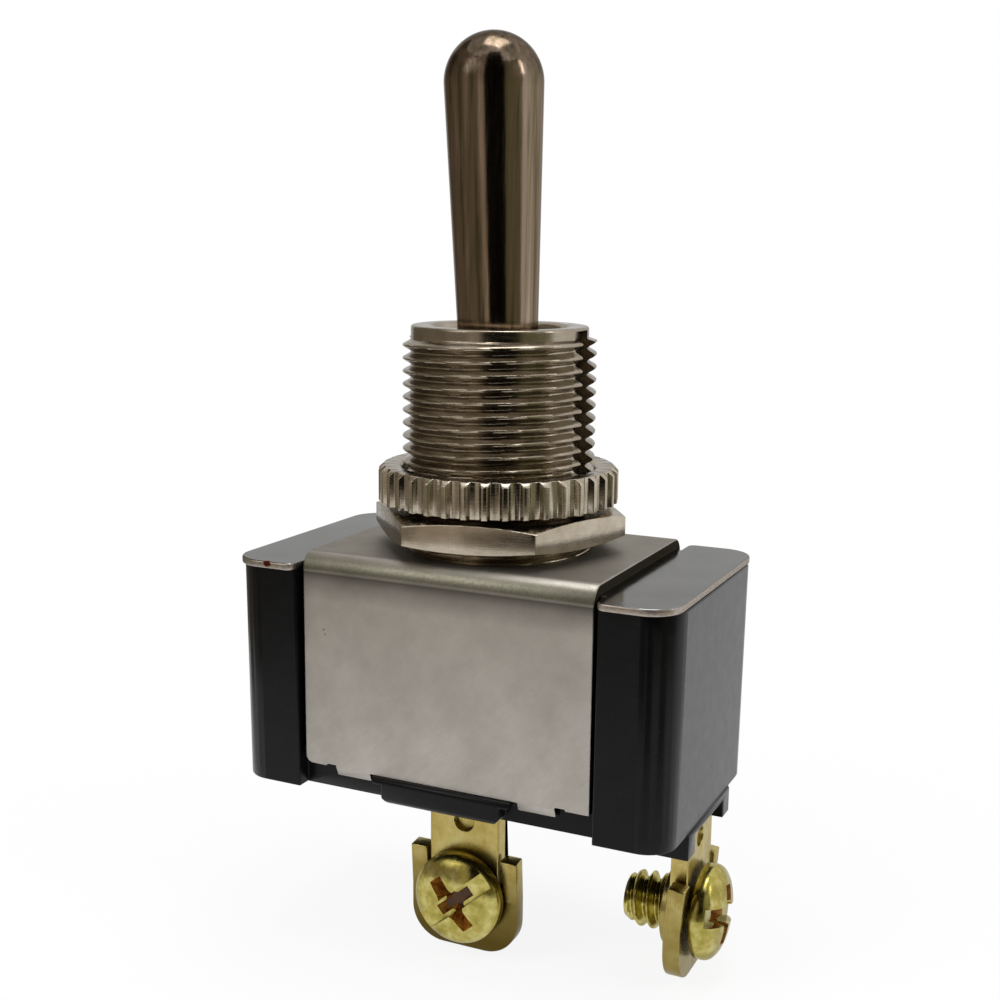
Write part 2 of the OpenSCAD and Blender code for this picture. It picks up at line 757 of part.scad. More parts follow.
// Ring of points round the wire at one place on the helix
function wire_ring(r, rise, angle, z) = [for (k = [0 : wire_sides - 1])
    let (a = k * 360 / wire_sides, pitch_tilt = atan(rise / (2 * PI * r)))
    [(r + wire_d / 2 * cos(a)) * cos(angle) + wire_d / 2 * sin(a) * sin(pitch_tilt) * sin(angle),
     (r + wire_d / 2 * cos(a)) * sin(angle) - wire_d / 2 * sin(a) * sin(pitch_tilt) * cos(angle),
     z + wire_d / 2 * sin(a) * cos(pitch_tilt)]];

module helix(r, z0, z1, turns) {
    steps = turns * steps_per_turn;
    rise = (z1 - z0) / turns;
    points = [for (i = [0 : steps]) each
        wire_ring(r, rise, i * 360 / steps_per_turn, z0 + (z1 - z0) * i / steps)];
    sides = [for (i = [0 : steps - 1], k = [0 : wire_sides - 1])
        let (n = (k + 1) % wire_sides)
        [i * wire_sides + k, (i + 1) * wire_sides + k, (i + 1) * wire_sides + n, i * wire_sides + n]];
    first = [for (k = [0 : wire_sides - 1]) k];
    last = [for (k = [wire_sides - 1 : -1 : 0]) steps * wire_sides + k];
    polyhedron(points = points, faces = concat([first], sides, [last]));
}

module plunger_spring() color(silver) at_lever() {
    coil_r = stem_bore_d / 2 - wire_d / 2 - run_gap;
    helix(coil_r, -plunger_top + wire_d / 2 + run_gap, -stem_bore_end - wire_d / 2 - run_gap,
          spring_turns);
}

// ---- rocker and contacts: drawn level round the rocker's axis ----

module at_rocker() {
    translate([0, 0, rocker_z]) rotate([0, rocker_lean, 0]) children();
}

// Side view of the rocker's strip: low in the middle, with level arms
module rocker_side() {
    line = [[-arm_l, arm_rise], [-arm_end, arm_rise], [-arm_start, 0],
            [arm_start, 0], [arm_end, arm_rise], [arm_l, arm_rise]];
    half = rocker_t / 2;
    polygon(concat([for (p = line) p + [0, half]],
                   [for (i = [len(line) - 1 : -1 : 0]) line[i] - [0, half]]));
}

module rocker() color(brass) at_rocker()
    difference() {
        union() {
            along_y(-rocker_w / 2, rocker_w / 2) rocker_side();
            rotate([90, 0, 0]) cylinder(d = trunnion_d, h = trunnion_l, center = true);
        }
        translate([contact_x, 0, 0])
            cylinder(d = contact_shank_d + 2 * press_gap, h = far, center = true);
    }

// Contact button with a domed face upwards at z = 0 and its shank below
module contact_button(shank_l, button_h) {
    r = contact_d / 2;
    dome_r = (r * r + contact_dome * contact_dome) / (2 * contact_dome);
    translate([0, 0, -button_h]) cylinder(r = r, h = button_h - contact_dome);
    intersection() {
        translate([0, 0, -dome_r]) sphere(r = dome_r, $fn = 128);
        translate([0, 0, -contact_dome - eps]) cylinder(r = r, h = 1);
    }
    translate([0, 0, -button_h - shank_l]) cylinder(d = contact_shank_d, h = shank_l + eps);
}

module moving_contact() color(silver) at_rocker()
    translate([contact_x, 0, contact_low - rocker_z]) mirror([0, 0, 1]) {
        contact_button(rocker_t, contact_h);
        // upset tail on top of the rocker
        translate([0, 0, -contact_h - rocker_t - tail_head_h])
            cylinder(d = contact_shank_d + 2 * tail_head_out, h = tail_head_h);
    }

module fixed_contact() color(silver)
    translate([contact_x, 0, fixed_top]) contact_button(term_t, fixed_top - foot_top);

module fulcrum_saddle() color(brass) {
    wall_top = rocker_z + trunnion_d / 2;
    difference() {
        union() {
            slab(foot_top, foot_top + saddle_t) square([saddle_l, saddle_base_w], center = true);
            for (side = [-1, 1])
                slab(foot_top, wall_top)
                    translate([-saddle_wall_l / 2, side * (saddle_base_w - saddle_t) / 2 - saddle_t / 2])
                        square([saddle_wall_l, saddle_t]);
        }
        // open notches that carry the rocker's trunnions
        translate([0, 0, rocker_z]) rotate([90, 0, 0])
            cylinder(d = trunnion_d + 2 * run_gap, h = far, center = true);
        translate([-trunnion_d / 2 - run_gap, -far / 2, rocker_z])
            cube([trunnion_d + 2 * run_gap, far, far]);
        cylinder(d = rivet_d + 2 * press_gap, h = far, center = true);
    }
}

module saddle_rivet() color(brass) {
    slab(floor_top, foot_top + saddle_t + eps) circle(d = rivet_d);
    slab(foot_top + saddle_t, foot_top + saddle_t + rivet_head_h)
        circle(d = rivet_d + 2 * rivet_head_out);
}

// ---- terminals: drawn round the screw axis, front face on y = 0, facing -Y ----

// Side view of the strip: neck up to the chamber's floor, bent in to form a foot
module strip_side(foot_l) {
    top = foot_top - screw_z;
    outer_r = term_bend_r + term_t;
    difference() {
        union() {
            translate([0, 0]) square([term_t, top - outer_r]);
            translate([outer_r, top - term_t]) square([foot_l - outer_r, term_t]);
            intersection() {
                translate([outer_r, top - outer_r]) circle(r = outer_r);
                translate([0, top - outer_r - eps]) square([outer_r + eps, outer_r + eps]);
            }
        }
        translate([outer_r, top - outer_r]) circle(r = term_bend_r);
    }
}

// Front view of the wire plate below the screw axis
module plate_front() {
    half = term_plate_w / 2;
    for (side = [-1, 1])
        translate([side * (half - tail_r), -tail_l + tail_r]) circle(r = tail_r);
    translate([-half + tail_r, -tail_l]) square([term_plate_w - 2 * tail_r, tail_l]);
    translate([-half, -tail_l + tail_r]) square([term_plate_w, tail_l - tail_r]);
}

// Side view of an ear, leaning out over the wire from the level of the screw
module ear_side() {
    lean = [-sin(ear_bend), cos(ear_bend)];
    across = [cos(ear_bend), sin(ear_bend)];
    polygon([[0, -term_t], [term_t, -term_t], [term_t, term_t * tan(ear_bend / 2)],
             ear_l * lean + term_t * across, ear_l * lean, [0, 0]]);
}

module terminal(foot_l, foot_hole_y) {
    neck_half = term_neck_w / 2;
    ear_x = neck_half + slit_w;
    difference() {
        union() {
            along_x(-neck_half, neck_half) strip_side(foot_l);
            along_y(0, term_t) plate_front();
            for (side = [0, 1])
                mirror([side, 0, 0]) along_x(ear_x, term_plate_w / 2) ear_side();
            translate([0, term_t + collar_h, 0]) rotate([90, 0, 0])
                cylinder(d = collar_d, h = collar_h + eps);
            translate([0, term_t + mark_depth, screw_drop - mark_drop]) rotate([90, 0, 0])
                cylinder(d = mark_d - mark_taper, h = mark_depth + eps);
        }
        rotate([90, 0, 0]) cylinder(d = screw_d + 2 * run_gap, h = far, center = true);
        translate([0, mark_depth, screw_drop - mark_drop]) rotate([90, 0, 0])
            cylinder(d = mark_d, h = 1);
        translate([0, foot_hole_y, foot_top - screw_z])
            cylinder(d = rivet_hole_d, h = 3 * term_t, center = true);
    }
}

// Places of the two terminals and their screws
module at_center_terminal() {
    translate([0, -center_term_y, screw_z]) children();
}

module at_end_terminal() {
    translate([end_term_x, 0, screw_z]) rotate([0, 0, 90]) children();
}

module center_terminal() color(brass)
    at_center_terminal() terminal(center_foot_l, center_term_y);

module end_terminal() color(brass)
    at_end_terminal() terminal(end_foot_l, end_term_x - contact_x);

// Screw along Y with its head towards -Y
module terminal_screw(slot_turn) {
    cross_z = head_h - slot_depth - cross_sink;
    translate([0, -head_gap, 0]) rotate([90, 0, 0]) difference() {
        union() {
            cylinder(d = head_d, h = head_rim);
            dome();
            translate([0, 0, -screw_l + screw_point])
                cylinder(d = screw_d, h = screw_l - screw_point + eps);
            translate([0, 0, -screw_l])
                cylinder(d1 = screw_d - screw_point, d2 = screw_d, h = screw_point + eps);
        }
        rotate([0, 0, slot_turn]) {
            translate([-head_d, -slot_w / 2, head_h - slot_depth]) cube([2 * head_d, slot_w, 2]);
            translate([-cross_w / 2, -cross_l / 2, cross_z]) cube([cross_w, cross_l, head_h]);
            translate([-cross_l / 2, -cross_w / 2, cross_z]) cube([cross_l, cross_w, head_h]);
        }
    }
}

// Domed top of a screw head, cut from a sphere
module dome() {
    rise = head_h - head_rim;
    r = (head_d * head_d / 4 + rise * rise) / (2 * rise);
    intersection() {
        translate([0, 0, head_h - r]) sphere(r = r, $fn = 96);
        translate([0, 0, head_rim - eps]) cylinder(d = head_d, h = rise + 1);
    }
}

module center_screw() color(yellow_brass) at_center_terminal() terminal_screw(center_slot_turn);

module end_screw() color(yellow_brass) at_end_terminal() terminal_screw(end_slot_turn);

housing();
cover_plate();
insulating_sheet();
frame_strap();
bushing();
hex_nut();
knurled_nut();
lever();
pivot_pin();
plunger();
plunger_spring();
rocker();
moving_contact();
fulcrum_saddle();
saddle_rivet();
fixed_contact();
center_terminal();
end_terminal();
center_screw();
end_screw();
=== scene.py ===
# %% [markdown]
# # A panel toggle switch
#
# The switch is a bat lever in a threaded bushing, a steel strap folded over a black moulded
# body, and brass terminals with their screws below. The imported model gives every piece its
# place. This script gives the pieces their threads, knurls, rounded edges and finishes.

# %% Load the frame
import json
import math
import bmesh
import bpy
from mathutils import Matrix, Vector


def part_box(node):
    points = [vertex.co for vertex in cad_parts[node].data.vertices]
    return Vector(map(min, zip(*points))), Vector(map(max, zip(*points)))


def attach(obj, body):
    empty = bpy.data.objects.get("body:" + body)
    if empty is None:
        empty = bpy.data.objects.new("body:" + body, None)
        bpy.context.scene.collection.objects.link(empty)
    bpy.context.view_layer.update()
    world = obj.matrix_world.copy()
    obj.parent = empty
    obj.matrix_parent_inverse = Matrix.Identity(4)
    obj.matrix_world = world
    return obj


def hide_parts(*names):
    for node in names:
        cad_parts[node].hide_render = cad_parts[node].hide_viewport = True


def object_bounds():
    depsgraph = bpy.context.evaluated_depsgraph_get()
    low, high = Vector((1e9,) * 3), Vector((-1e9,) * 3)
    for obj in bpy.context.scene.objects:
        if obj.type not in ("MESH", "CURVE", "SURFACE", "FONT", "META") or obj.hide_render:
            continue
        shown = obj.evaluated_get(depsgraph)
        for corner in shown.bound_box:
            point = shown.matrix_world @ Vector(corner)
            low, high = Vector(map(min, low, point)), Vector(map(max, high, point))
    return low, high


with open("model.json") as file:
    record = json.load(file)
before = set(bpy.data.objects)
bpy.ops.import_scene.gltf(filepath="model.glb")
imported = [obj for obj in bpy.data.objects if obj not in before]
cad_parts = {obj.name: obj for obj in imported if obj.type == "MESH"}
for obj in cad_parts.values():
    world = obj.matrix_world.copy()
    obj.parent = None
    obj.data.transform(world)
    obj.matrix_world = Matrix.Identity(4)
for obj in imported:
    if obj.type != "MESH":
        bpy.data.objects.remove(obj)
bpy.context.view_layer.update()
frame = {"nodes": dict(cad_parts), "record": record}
MM = 0.001

# %% [markdown]
# ## Small helpers for materials
#
# Colours are given as sRGB hex, and a shader wants linear light, so one function turns
# them. One more adds a node with its settings and its links, which keeps each material short.

# %% Colour and node helpers
def linear(code):
    """sRGB hex colour as linear RGBA."""
    parts = [int(code[i:i + 2], 16) / 255 for i in (1, 3, 5)]
    return tuple(p / 12.92 if p <= 0.04045 else ((p + 0.055) / 1.055) ** 2.4
                 for p in parts) + (1,)


def add(tree, kind, inputs=None, **settings):
    """A node with its settings; inputs maps a socket's name or number to a value or an output."""
    node = tree.nodes.new(kind)
    for key, value in settings.items():
        setattr(node, key, value)
    for key, value in (inputs or {}).items():
        if isinstance(value, bpy.types.NodeSocket):
            tree.links.new(value, node.inputs[key])
        else:
            node.inputs[key].default_value = value
    return node


def calculate(tree, operation, *values):
    """One step of arithmetic on outputs and numbers."""
    return add(tree, "ShaderNodeMath", dict(enumerate(values)), operation=operation).outputs[0]


def through_stops(tree, value, stops):
    """Colour ramp through stops of (position, linear colour)."""
    node = add(tree, "ShaderNodeValToRGB", {"Fac": value})
    elements = node.color_ramp.elements
    while len(elements) < len(stops):
        elements.new(0.5)
    for element, (place, colour) in zip(elements, stops):
        element.position = place
        element.color = colour
    return node.outputs["Color"]


def ramp(tree, value, stops):
    """Colour ramp through stops of (position, sRGB hex)."""
    return through_stops(tree, value, [(place, linear(code)) for place, code in stops])


def spread(tree, value, low, high, start=0.3, end=0.7):
    """Maps a noise value from start..end onto low..high."""
    node = add(tree, "ShaderNodeMapRange", {"Value": value, "From Min": start, "From Max": end,
                                            "To Min": low, "To Max": high})
    return node.outputs["Result"]


def mix(tree, amount, first, second):
    """Colour mix; first and second are outputs or linear colours."""
    return add(tree, "ShaderNodeMix", {0: amount, 6: first, 7: second},
               data_type="RGBA").outputs[2]


print("middle grey as linear light:", round(linear("#808080")[0], 3))

# %% [markdown]
# ## Patterns, shaders and marks
#
# A pattern has a real size, so noise takes the width of its grains in millimetres and a relief
# takes its depth in millimetres. A stain, a worn spot or a band of painted shade lies at a real
# place, so it is laid by the object's own coordinates, or by a number that its faces carry.

# %% Pattern and shader helpers
def noise(tree, size_mm, vector, detail=4.0, rough=0.55):
    """Noise whose grains are about size_mm across."""
    node = add(tree, "ShaderNodeTexNoise", {"Vector": vector, "Scale": 1 / (size_mm * MM),
                                            "Detail": detail, "Roughness": rough})
    return node.outputs["Fac"]


def stretched(tree, place, scale, turn=(0, 0, 0)):
    """Object coordinates turned and then stretched, for brushed and streaked patterns."""
    turned = add(tree, "ShaderNodeMapping", {"Vector": place, "Rotation": turn})
    return add(tree, "ShaderNodeMapping", {"Vector": turned.outputs[0], "Scale": scale}).outputs[0]


def grey(share):
    """A grey as linear RGBA."""
    return (share, share, share, 1)


def new_material(name, **values):
    """A material, its tree, its shader and its Object coordinates, with plain shader values.

    On a metal, a grey Specular_Tint is the share of light that it mirrors at a slant; on
    plastic it is the share of the usual mirroring, seen straight on.
    """
    material = bpy.data.materials.new(name)
    material.use_nodes = True
    tree = material.node_tree
    shader = tree.nodes["Principled BSDF"]
    for key, value in values.items():
        shader.inputs[key.replace("_", " ")].default_value = value
    place = add(tree, "ShaderNodeTexCoord").outputs["Object"]
    return material, tree, shader, place


def surface(tree, shader, colour, roughness, relief, depth_mm):
    """Gives a shader its colour and roughness, and a relief of a real depth."""
    tree.links.new(colour, shader.inputs["Base Color"])
    tree.links.new(roughness, shader.inputs["Roughness"])
    bump = add(tree, "ShaderNodeBump", {"Height": relief, "Distance": depth_mm * MM,
                                        "Strength": 1.0})
    tree.links.new(bump.outputs["Normal"], shader.inputs["Normal"])


print("noise scale for grains of 1 mm:", round(1 / MM))

# %% Helpers for marks at a place
def axis_mm(tree, place, axis):
    """One coordinate of the object, in mm."""
    split = add(tree, "ShaderNodeSeparateXYZ", {0: place})
    return calculate(tree, "MULTIPLY", split.outputs[axis], 1 / MM)


def banded(tree, value, low, high, stops):
    """Amount that follows stops of (value in mm, amount) along a coordinate."""
    share = spread(tree, value, 0.0, 1.0, low, high)
    return through_stops(tree, share, [((place_mm - low) / (high - low), grey(amount))
                                       for place_mm, amount in stops])


def face_mark(tree, name):
    """The number that each face carries under a name."""
    return add(tree, "ShaderNodeAttribute", attribute_name=name).outputs["Fac"]


def near_point(tree, place, point_mm, radius_mm, wobble):
    """1 inside a small spot round a point of the object, 0 outside it, with a ragged edge."""
    spot = add(tree, "ShaderNodeVectorMath", {0: place, 1: [p * MM for p in point_mm]},
               operation="DISTANCE").outputs["Value"]
    ragged = calculate(tree, "MULTIPLY_ADD", noise(tree, radius_mm, place), wobble * MM, spot)
    return spread(tree, ragged, 1.0, 0.0, (radius_mm * 0.7 + wobble / 2) * MM,
                  (radius_mm + wobble / 2) * MM)


STRAP_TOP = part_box("frame_strap")[1].z / MM
print("height of the strap's top face, mm:", round(STRAP_TOP, 2))

# %% [markdown]
# ## The finishes
#
# Each finish starts from the real metal or plastic. Plated pieces are full metals, whose look
# comes from their roughness; what differs is how each was worked before plating: the lever is
# polished, the bushing is cut on a screw machine, the strap is stamped from rolled strip.

# %% The slots that need a finish
SLOT_OF = {row["node"]: row["material_slot"] for row in frame["record"]["subparts"]}
FINISH = {}


def keep_finish(slot, material):
    """Keeps a material as the finish of the pieces with a slot."""
    FINISH[slot] = material
    print(f"{material.name}: {len(material.node_tree.nodes)} nodes, for {slot}")


print("slots:", ", ".join(sorted(set(SLOT_OF.values()))))

# %% Black moulded phenolic
def moulded_phenolic():
    """Phenolic pressed in a polished steel mould: black, half gloss, with faint flow marks."""
    material, tree, shader, place = new_material("moulded_phenolic", IOR=1.42,
                                                 Specular_Tint=grey(0.4))
    mottle = noise(tree, 1.6, place, 5.0)
    base = ramp(tree, mottle, [(0.3, "#060607"), (0.7, "#0b0b0c")])
    dust = spread(tree, noise(tree, 0.12, place, 2.0), 0.0, 0.25, 0.66, 0.78)
    dusty = mix(tree, dust, base, linear("#4a4844"))
    gloss = spread(tree, noise(tree, 0.7, place, 6.0), 0.27, 0.32)
    surface(tree, shader, dusty, gloss, noise(tree, 0.25, place, 3.0), 0.004)
    return material


keep_finish("phenolic", moulded_phenolic())

# %% Plated steel of the strap
RED_SPOTS = ((-8.10, -7.65, -4.70), (-8.00, -7.65, -4.98))
# Stops of (height in mm, amount); the strap's top face is at 0
BEND_OLIVE = [(-1.15, 0.0), (-0.95, 0.8), (-0.35, 0.7), (-0.05, 0.1)]
SHADE_UNDER_BEND = [(-2.9, 0.0), (-1.75, 0.45), (-1.2, 0.85), (-1.0, 0.0)]
# Painted shade and painted reflection of the nuts on the strap's top face
TOP_PAINTED_SHADE = [(-0.05, 0.0), (-0.02, 0.4)]


def plated_strip():
    """Rolled steel strip with a thin zinc plate: grey, a little brown, scratched from handling.

    The bend is olive, painted shade darkens the front under it and the top face, and sheared edges
    are dark.
    """
    material, tree, shader, place = new_material("plated_strip", Metallic=1.0,
                                                 Specular_Tint=grey(0.28))
    cloud = noise(tree, 3.0, place, 5.0, 0.6)
    colour = ramp(tree, cloud, [(0.3, "#b0aba4"), (0.5, "#bab5ae"), (0.72, "#c4bfb8")])
    scratched = stretched(tree, place, (0.12, 1, 1), (0, math.radians(40), 0))
    rubbed = noise(tree, 0.10, scratched, 5.0, 0.7)
    colour = mix(tree, spread(tree, rubbed, 0.0, 0.5, 0.56, 0.74), colour, linear("#c4beb5"))
    for spot in RED_SPOTS:
        paint = near_point(tree, place, spot, 0.07, 0.10)
        colour = mix(tree, paint, colour, linear("#c0503c"))
    height = axis_mm(tree, place, 2)
    speckle = noise(tree, 0.16, place, 3.0, 0.6)
    olive = ramp(tree, speckle, [(0.35, "#585742"), (0.6, "#6e6e58")])
    # olive speckled tone on the bend
    colour = mix(tree, banded(tree, height, -3.0, 0.0, BEND_OLIVE), colour, olive)
    shade = banded(tree, height, -4.0, 0.0, SHADE_UNDER_BEND)
    colour = mix(tree, shade, colour, linear("#47433a"))
    # painted shade and painted reflection of the nuts: the top face is darker
    colour = mix(tree, banded(tree, height, -0.2, 0.2, TOP_PAINTED_SHADE), colour, linear("#6d675c"))
    colour = mix(tree, face_mark(tree, "cut"), colour, linear("#4b483f"))
    surface(tree, shader, colour, spread(tree, rubbed, 0.42, 0.58, 0.35, 0.7), rubbed, 0.006)
    return material


keep_finish("plated_steel", plated_strip())

# %% Bright steel of the cover plate
RUSTY_NICK = (-11.6, -8.45, -0.75)
PINK_SPOT = (-9.8, -8.45, -0.85)
SHEARED_ROUGHNESS = 0.42


def bright_plate():
    """Bright plated steel, near mirror, with a rusty nick and a pink spot on its front edge."""
    material, tree, shader, place = new_material("bright_plate", Metallic=1.0,
                                                 Specular_Tint=grey(0.55))
    cloud = noise(tree, 4.0, place, 4.0)
    face = ramp(tree, cloud, [(0.3, "#838280"), (0.7, "#8e8d8b")])
    grain = noise(tree, 0.12, stretched(tree, place, (0.4, 0.4, 1)), 4.0, 0.6)
    edge = ramp(tree, grain, [(0.3, "#9c9086"), (0.7, "#c2b8ae")])
    sheared = face_mark(tree, "cut")
    colour = mix(tree, sheared, face, edge)
    pink = near_point(tree, place, PINK_SPOT, 0.14, 0.2)
    colour = mix(tree, pink, colour, linear("#b98474"))
    rust = near_point(tree, place, RUSTY_NICK, 0.30, 0.4)
    colour = mix(tree, rust, colour, linear("#6b3320"))
    streak = stretched(tree, place, (0.1, 1, 1), (0, 0, math.radians(12)))
    rough = spread(tree, noise(tree, 0.08, streak, 4.0, 0.7), 0.10, 0.24, 0.4, 0.75)
    on_edge = calculate(tree, "MULTIPLY", sheared, SHEARED_ROUGHNESS)
    rough = calculate(tree, "MAXIMUM", rust, calculate(tree, "MAXIMUM", rough, on_edge))
    surface(tree, shader, colour, rough, noise(tree, 2.2, place, 2.0), 0.010)
    return material


keep_finish("bright_steel", bright_plate())

# %% Nickel plate of the bushing and the nuts
def cut_nickel():
    """Brass cut on a screw machine and nickel plated: warm, with tool lines round the axis.

    The nuts, which sit low on the bushing, are a little brighter than its thread.
    """
    material, tree, shader, place = new_material("cut_nickel", Metallic=1.0,
                                                 Specular_Tint=grey(0.6))
    cloud = noise(tree, 1.5, place, 5.0, 0.6)
    thread_tone = ramp(tree, cloud, [(0.3, "#8d8270"), (0.55, "#a09585"), (0.75, "#aca294")])
    nut_tone = ramp(tree, cloud, [(0.3, "#a39884"), (0.55, "#b7ac9b"), (0.75, "#c4bbac")])
    nuts_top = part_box("knurled_nut")[1].z / MM
    # A darker tone on the thread and a lighter one from the nuts' top down
    on_nuts = banded(tree, axis_mm(tree, place, 2), -1.0, 14.0,
                     [(nuts_top, 1.0), (nuts_top + 0.1, 0.0)])
    tool_lines = noise(tree, 0.05, stretched(tree, place, (0.05, 0.05, 1)), 3.0, 0.6)
    surface(tree, shader, mix(tree, on_nuts, thread_tone, nut_tone), spread(tree, tool_lines, 0.14, 0.30),
            tool_lines, 0.003)
    return material


keep_finish("nickel", cut_nickel())

# %% Polished nickel of the lever
def polished_nickel():
    """Polished and nickel plated: dark, mirror bright, drawn lines along the bat, painted dark
    reflection on the tip.
    """
    material, tree, shader, place = new_material("polished_nickel", Metallic=1.0,
                                                 Specular_Tint=grey(0.45))
    drawn = stretched(tree, place, (1, 1, 0.03))
    streaks = noise(tree, 0.45, drawn, 3.0, 0.6)
    base = ramp(tree, streaks, [(0.36, "#665c49"), (0.46, "#82735f"), (0.56, "#897768"),
                                (0.66, "#9c8c7b")])
    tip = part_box("lever")[1].z / MM
    # Painted dark reflection: the ball of the tip is darkened, broken up by blotches
    ball = banded(tree, axis_mm(tree, place, 2), tip - 6.0, tip + 1.0,
                  [(tip - 3.4, 0.0), (tip - 1.9, 0.6)])
    blotch = spread(tree, noise(tree, 1.1, place, 3.0), 0.55, 1.0, 0.42, 0.58)
    colour = mix(tree, calculate(tree, "MULTIPLY", ball, blotch), base, linear("#2c241d"))
    fine = noise(tree, 0.08, drawn, 4.0, 0.7)
    surface(tree, shader, colour, spread(tree, fine, 0.10, 0.24, 0.35, 0.75), fine, 0.002)
    return material


keep_finish("dark_nickel", polished_nickel())

# %% Brass of the terminals
# Stops of (height in mm, amount) for the painted shade and painted dark reflection behind and
# below the screws' heads
LOW_PAINTED_SHADE = [(-24.5, 1.0), (-22.0, 0.75), (-20.0, 0.35), (-18.9, 0.0)]
# The end terminal, past x 10 mm, takes this share of the centre terminal's painted shade
END_PAINTED_SHADE_SHARE = 0.5


def stamped_brass():
    """Half-hard brass strip, stamped: yellow, with light clouds and painted shade on its lower
    part.
    """
    material, tree, shader, place = new_material("stamped_brass", Metallic=1.0,
                                                 Specular_Tint=grey(0.85))
    cloud = noise(tree, 1.2, place, 6.0, 0.6)
    base = ramp(tree, cloud, [(0.3, "#a08a46"), (0.5, "#b2a05e"), (0.72, "#c2b478")])
    # Painted shade and painted dark reflection: darker towards the bottom and behind the heads
    low = banded(tree, axis_mm(tree, place, 2), -25.5, -17.0, LOW_PAINTED_SHADE)
    share = spread(tree, axis_mm(tree, place, 0), 1.0, END_PAINTED_SHADE_SHARE, 6.0, 10.0)
    colour = mix(tree, calculate(tree, "MULTIPLY", low, share), base, linear("#55461c"))
    grain = noise(tree, 0.06, stretched(tree, place, (1, 1, 0.08)), 4.0, 0.7)
    surface(tree, shader, colour, spread(tree, grain, 0.20, 0.38), grain, 0.004)
    return material


keep_finish("brass", stamped_brass())

# %% Brass of the screws
def screw_brass():
    """Turned brass, bright yellow. The cross is brown and dull, and painted shade darkens its
    floor.

    The faces' depth mark is 0 outside the cross, 1 on its walls and 2 on its floor.
    """
    material, tree, shader, place = new_material("screw_brass", Metallic=1.0,
                                                 Specular_Tint=grey(0.7))
    cloud = noise(tree, 0.8, place, 5.0)
    base = ramp(tree, cloud, [(0.32, "#91863f"), (0.5, "#ada055"), (0.68, "#c9bf7d")])
    stained = noise(tree, 0.35, place, 4.0)
    brown = ramp(tree, stained, [(0.35, "#7c3f0e"), (0.65, "#ab7a2a")])
    depth = face_mark(tree, "depth")
    # Brown in the cross, with painted shade making its floor darkest
    recess_brown_and_shade = mix(tree, spread(tree, depth, 0.0, 1.0, 1.0, 2.0), brown, linear("#4c3118"))
    tree.links.new(spread(tree, depth, 1.0, 0.35, 0.0, 1.0), shader.inputs["Metallic"])
    surface(tree, shader, mix(tree, depth, base, recess_brown_and_shade),
            spread(tree, noise(tree, 0.3, place, 5.0), 0.14, 0.28),
            noise(tree, 0.2, place, 3.0), 0.004)
    return material


keep_finish("screw_brass", screw_brass())

# %% Finishes inside the body
def inner_finish(name, low, high, size_mm, rough, metallic=0.0, depth_mm=0.004):
    """A plain worked finish for the pieces inside: two tones, one grain size."""
    material, tree, shader, place = new_material(name, Metallic=metallic)
    grain = noise(tree, size_mm, place, 5.0)
    surface(tree, shader, ramp(tree, grain, [(0.3, low), (0.7, high)]),
            spread(tree, grain, rough - 0.08, rough + 0.08), grain, depth_mm)
    return material


keep_finish("silver", inner_finish("silver_contact", "#c4c3bf", "#e2e1de", 0.3, 0.25, 1.0))
keep_finish("spring_steel", inner_finish("drawn_wire", "#8b8b8b", "#a9a9a9", 0.1, 0.3, 1.0))
keep_finish("fibre", inner_finish("pressed_fibre", "#5d4a34", "#75604a", 0.2, 0.7, 0.0, 0.02))
keep_finish("nylon", inner_finish("moulded_nylon", "#d8d3c6", "#e6e2d8", 0.5, 0.45))

# %% Finishes on the frame's own pieces
for node, piece in frame["nodes"].items():
    piece.data.materials.clear()
    piece.data.materials.append(FINISH[SLOT_OF[node]])
print("pieces of the frame with a finish:", len(frame["nodes"]))

# %% [markdown]
# ## From mesh to finished piece
#
# Every new piece goes through one function: it takes the finish of the node it stands for,
# rides on that node's body, and is shaded smooth except over sharp edges. A piece that is a
# rounded copy of its node is shaded flat on its large faces, which are flat.

# %% Helpers for pieces
BODY_OF = {node: body for body, nodes in frame["record"]["behaviour"]["bodies"].items()
           for node in nodes}
WELD = 2e-5  # m, corners of the frame's mesh nearer than this are one
SAME_FACE = 0.5  # degrees, triangles that lie flatter than this are joined
SAME_POINT = 1e-7  # m, for corners that coincide in a mesh made here
EDGE_ANGLE = 32  # degrees, edges sharper than this are rounded
FLAT_AREA = 12e-6  # m2, larger faces are flat, and smooth shading would crease them


def finish_piece(name, mesh, node, sharp=35):
    """An object for mesh, which stands for a node of the frame."""
    piece = bpy.data.objects.new(name, mesh)
    bpy.context.scene.collection.objects.link(piece)
    mesh.materials.clear()
    mesh.materials.append(FINISH[SLOT_OF[node]])
    mesh.shade_smooth()
    mesh.set_sharp_from_angle(angle=math.radians(sharp))
    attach(piece, BODY_OF[node])
    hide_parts(node)
    print(f"{name}: {len(mesh.vertices)} corners, on {BODY_OF[node]}")


def baked(mesh, kind, inputs=None, **settings):
    """A mesh with one modifier applied to it; inputs are for a node tree, by identifier."""
    holder = bpy.data.objects.new("holder", mesh)
    bpy.context.scene.collection.objects.link(holder)
    modifier = holder.modifiers.new(kind.lower(), kind)
    for key, value in settings.items():
        setattr(modifier, key, value)
    for identifier, value in (inputs or {}).items():
        modifier[identifier] = value
    graph = bpy.context.evaluated_depsgraph_get()
    result = bpy.data.meshes.new_from_object(holder.evaluated_get(graph))
    holder.modifiers.clear()
    bpy.data.objects.remove(holder)
    return result


def bevelled(mesh, width_mm, segments, angle, **settings):
    """The mesh with its edges that are sharper than angle, in degrees, rounded."""
    return baked(mesh, "BEVEL", width=width_mm * MM, segments=segments, limit_method="ANGLE",
                 angle_limit=math.radians(angle), use_clamp_overlap=False, **settings)


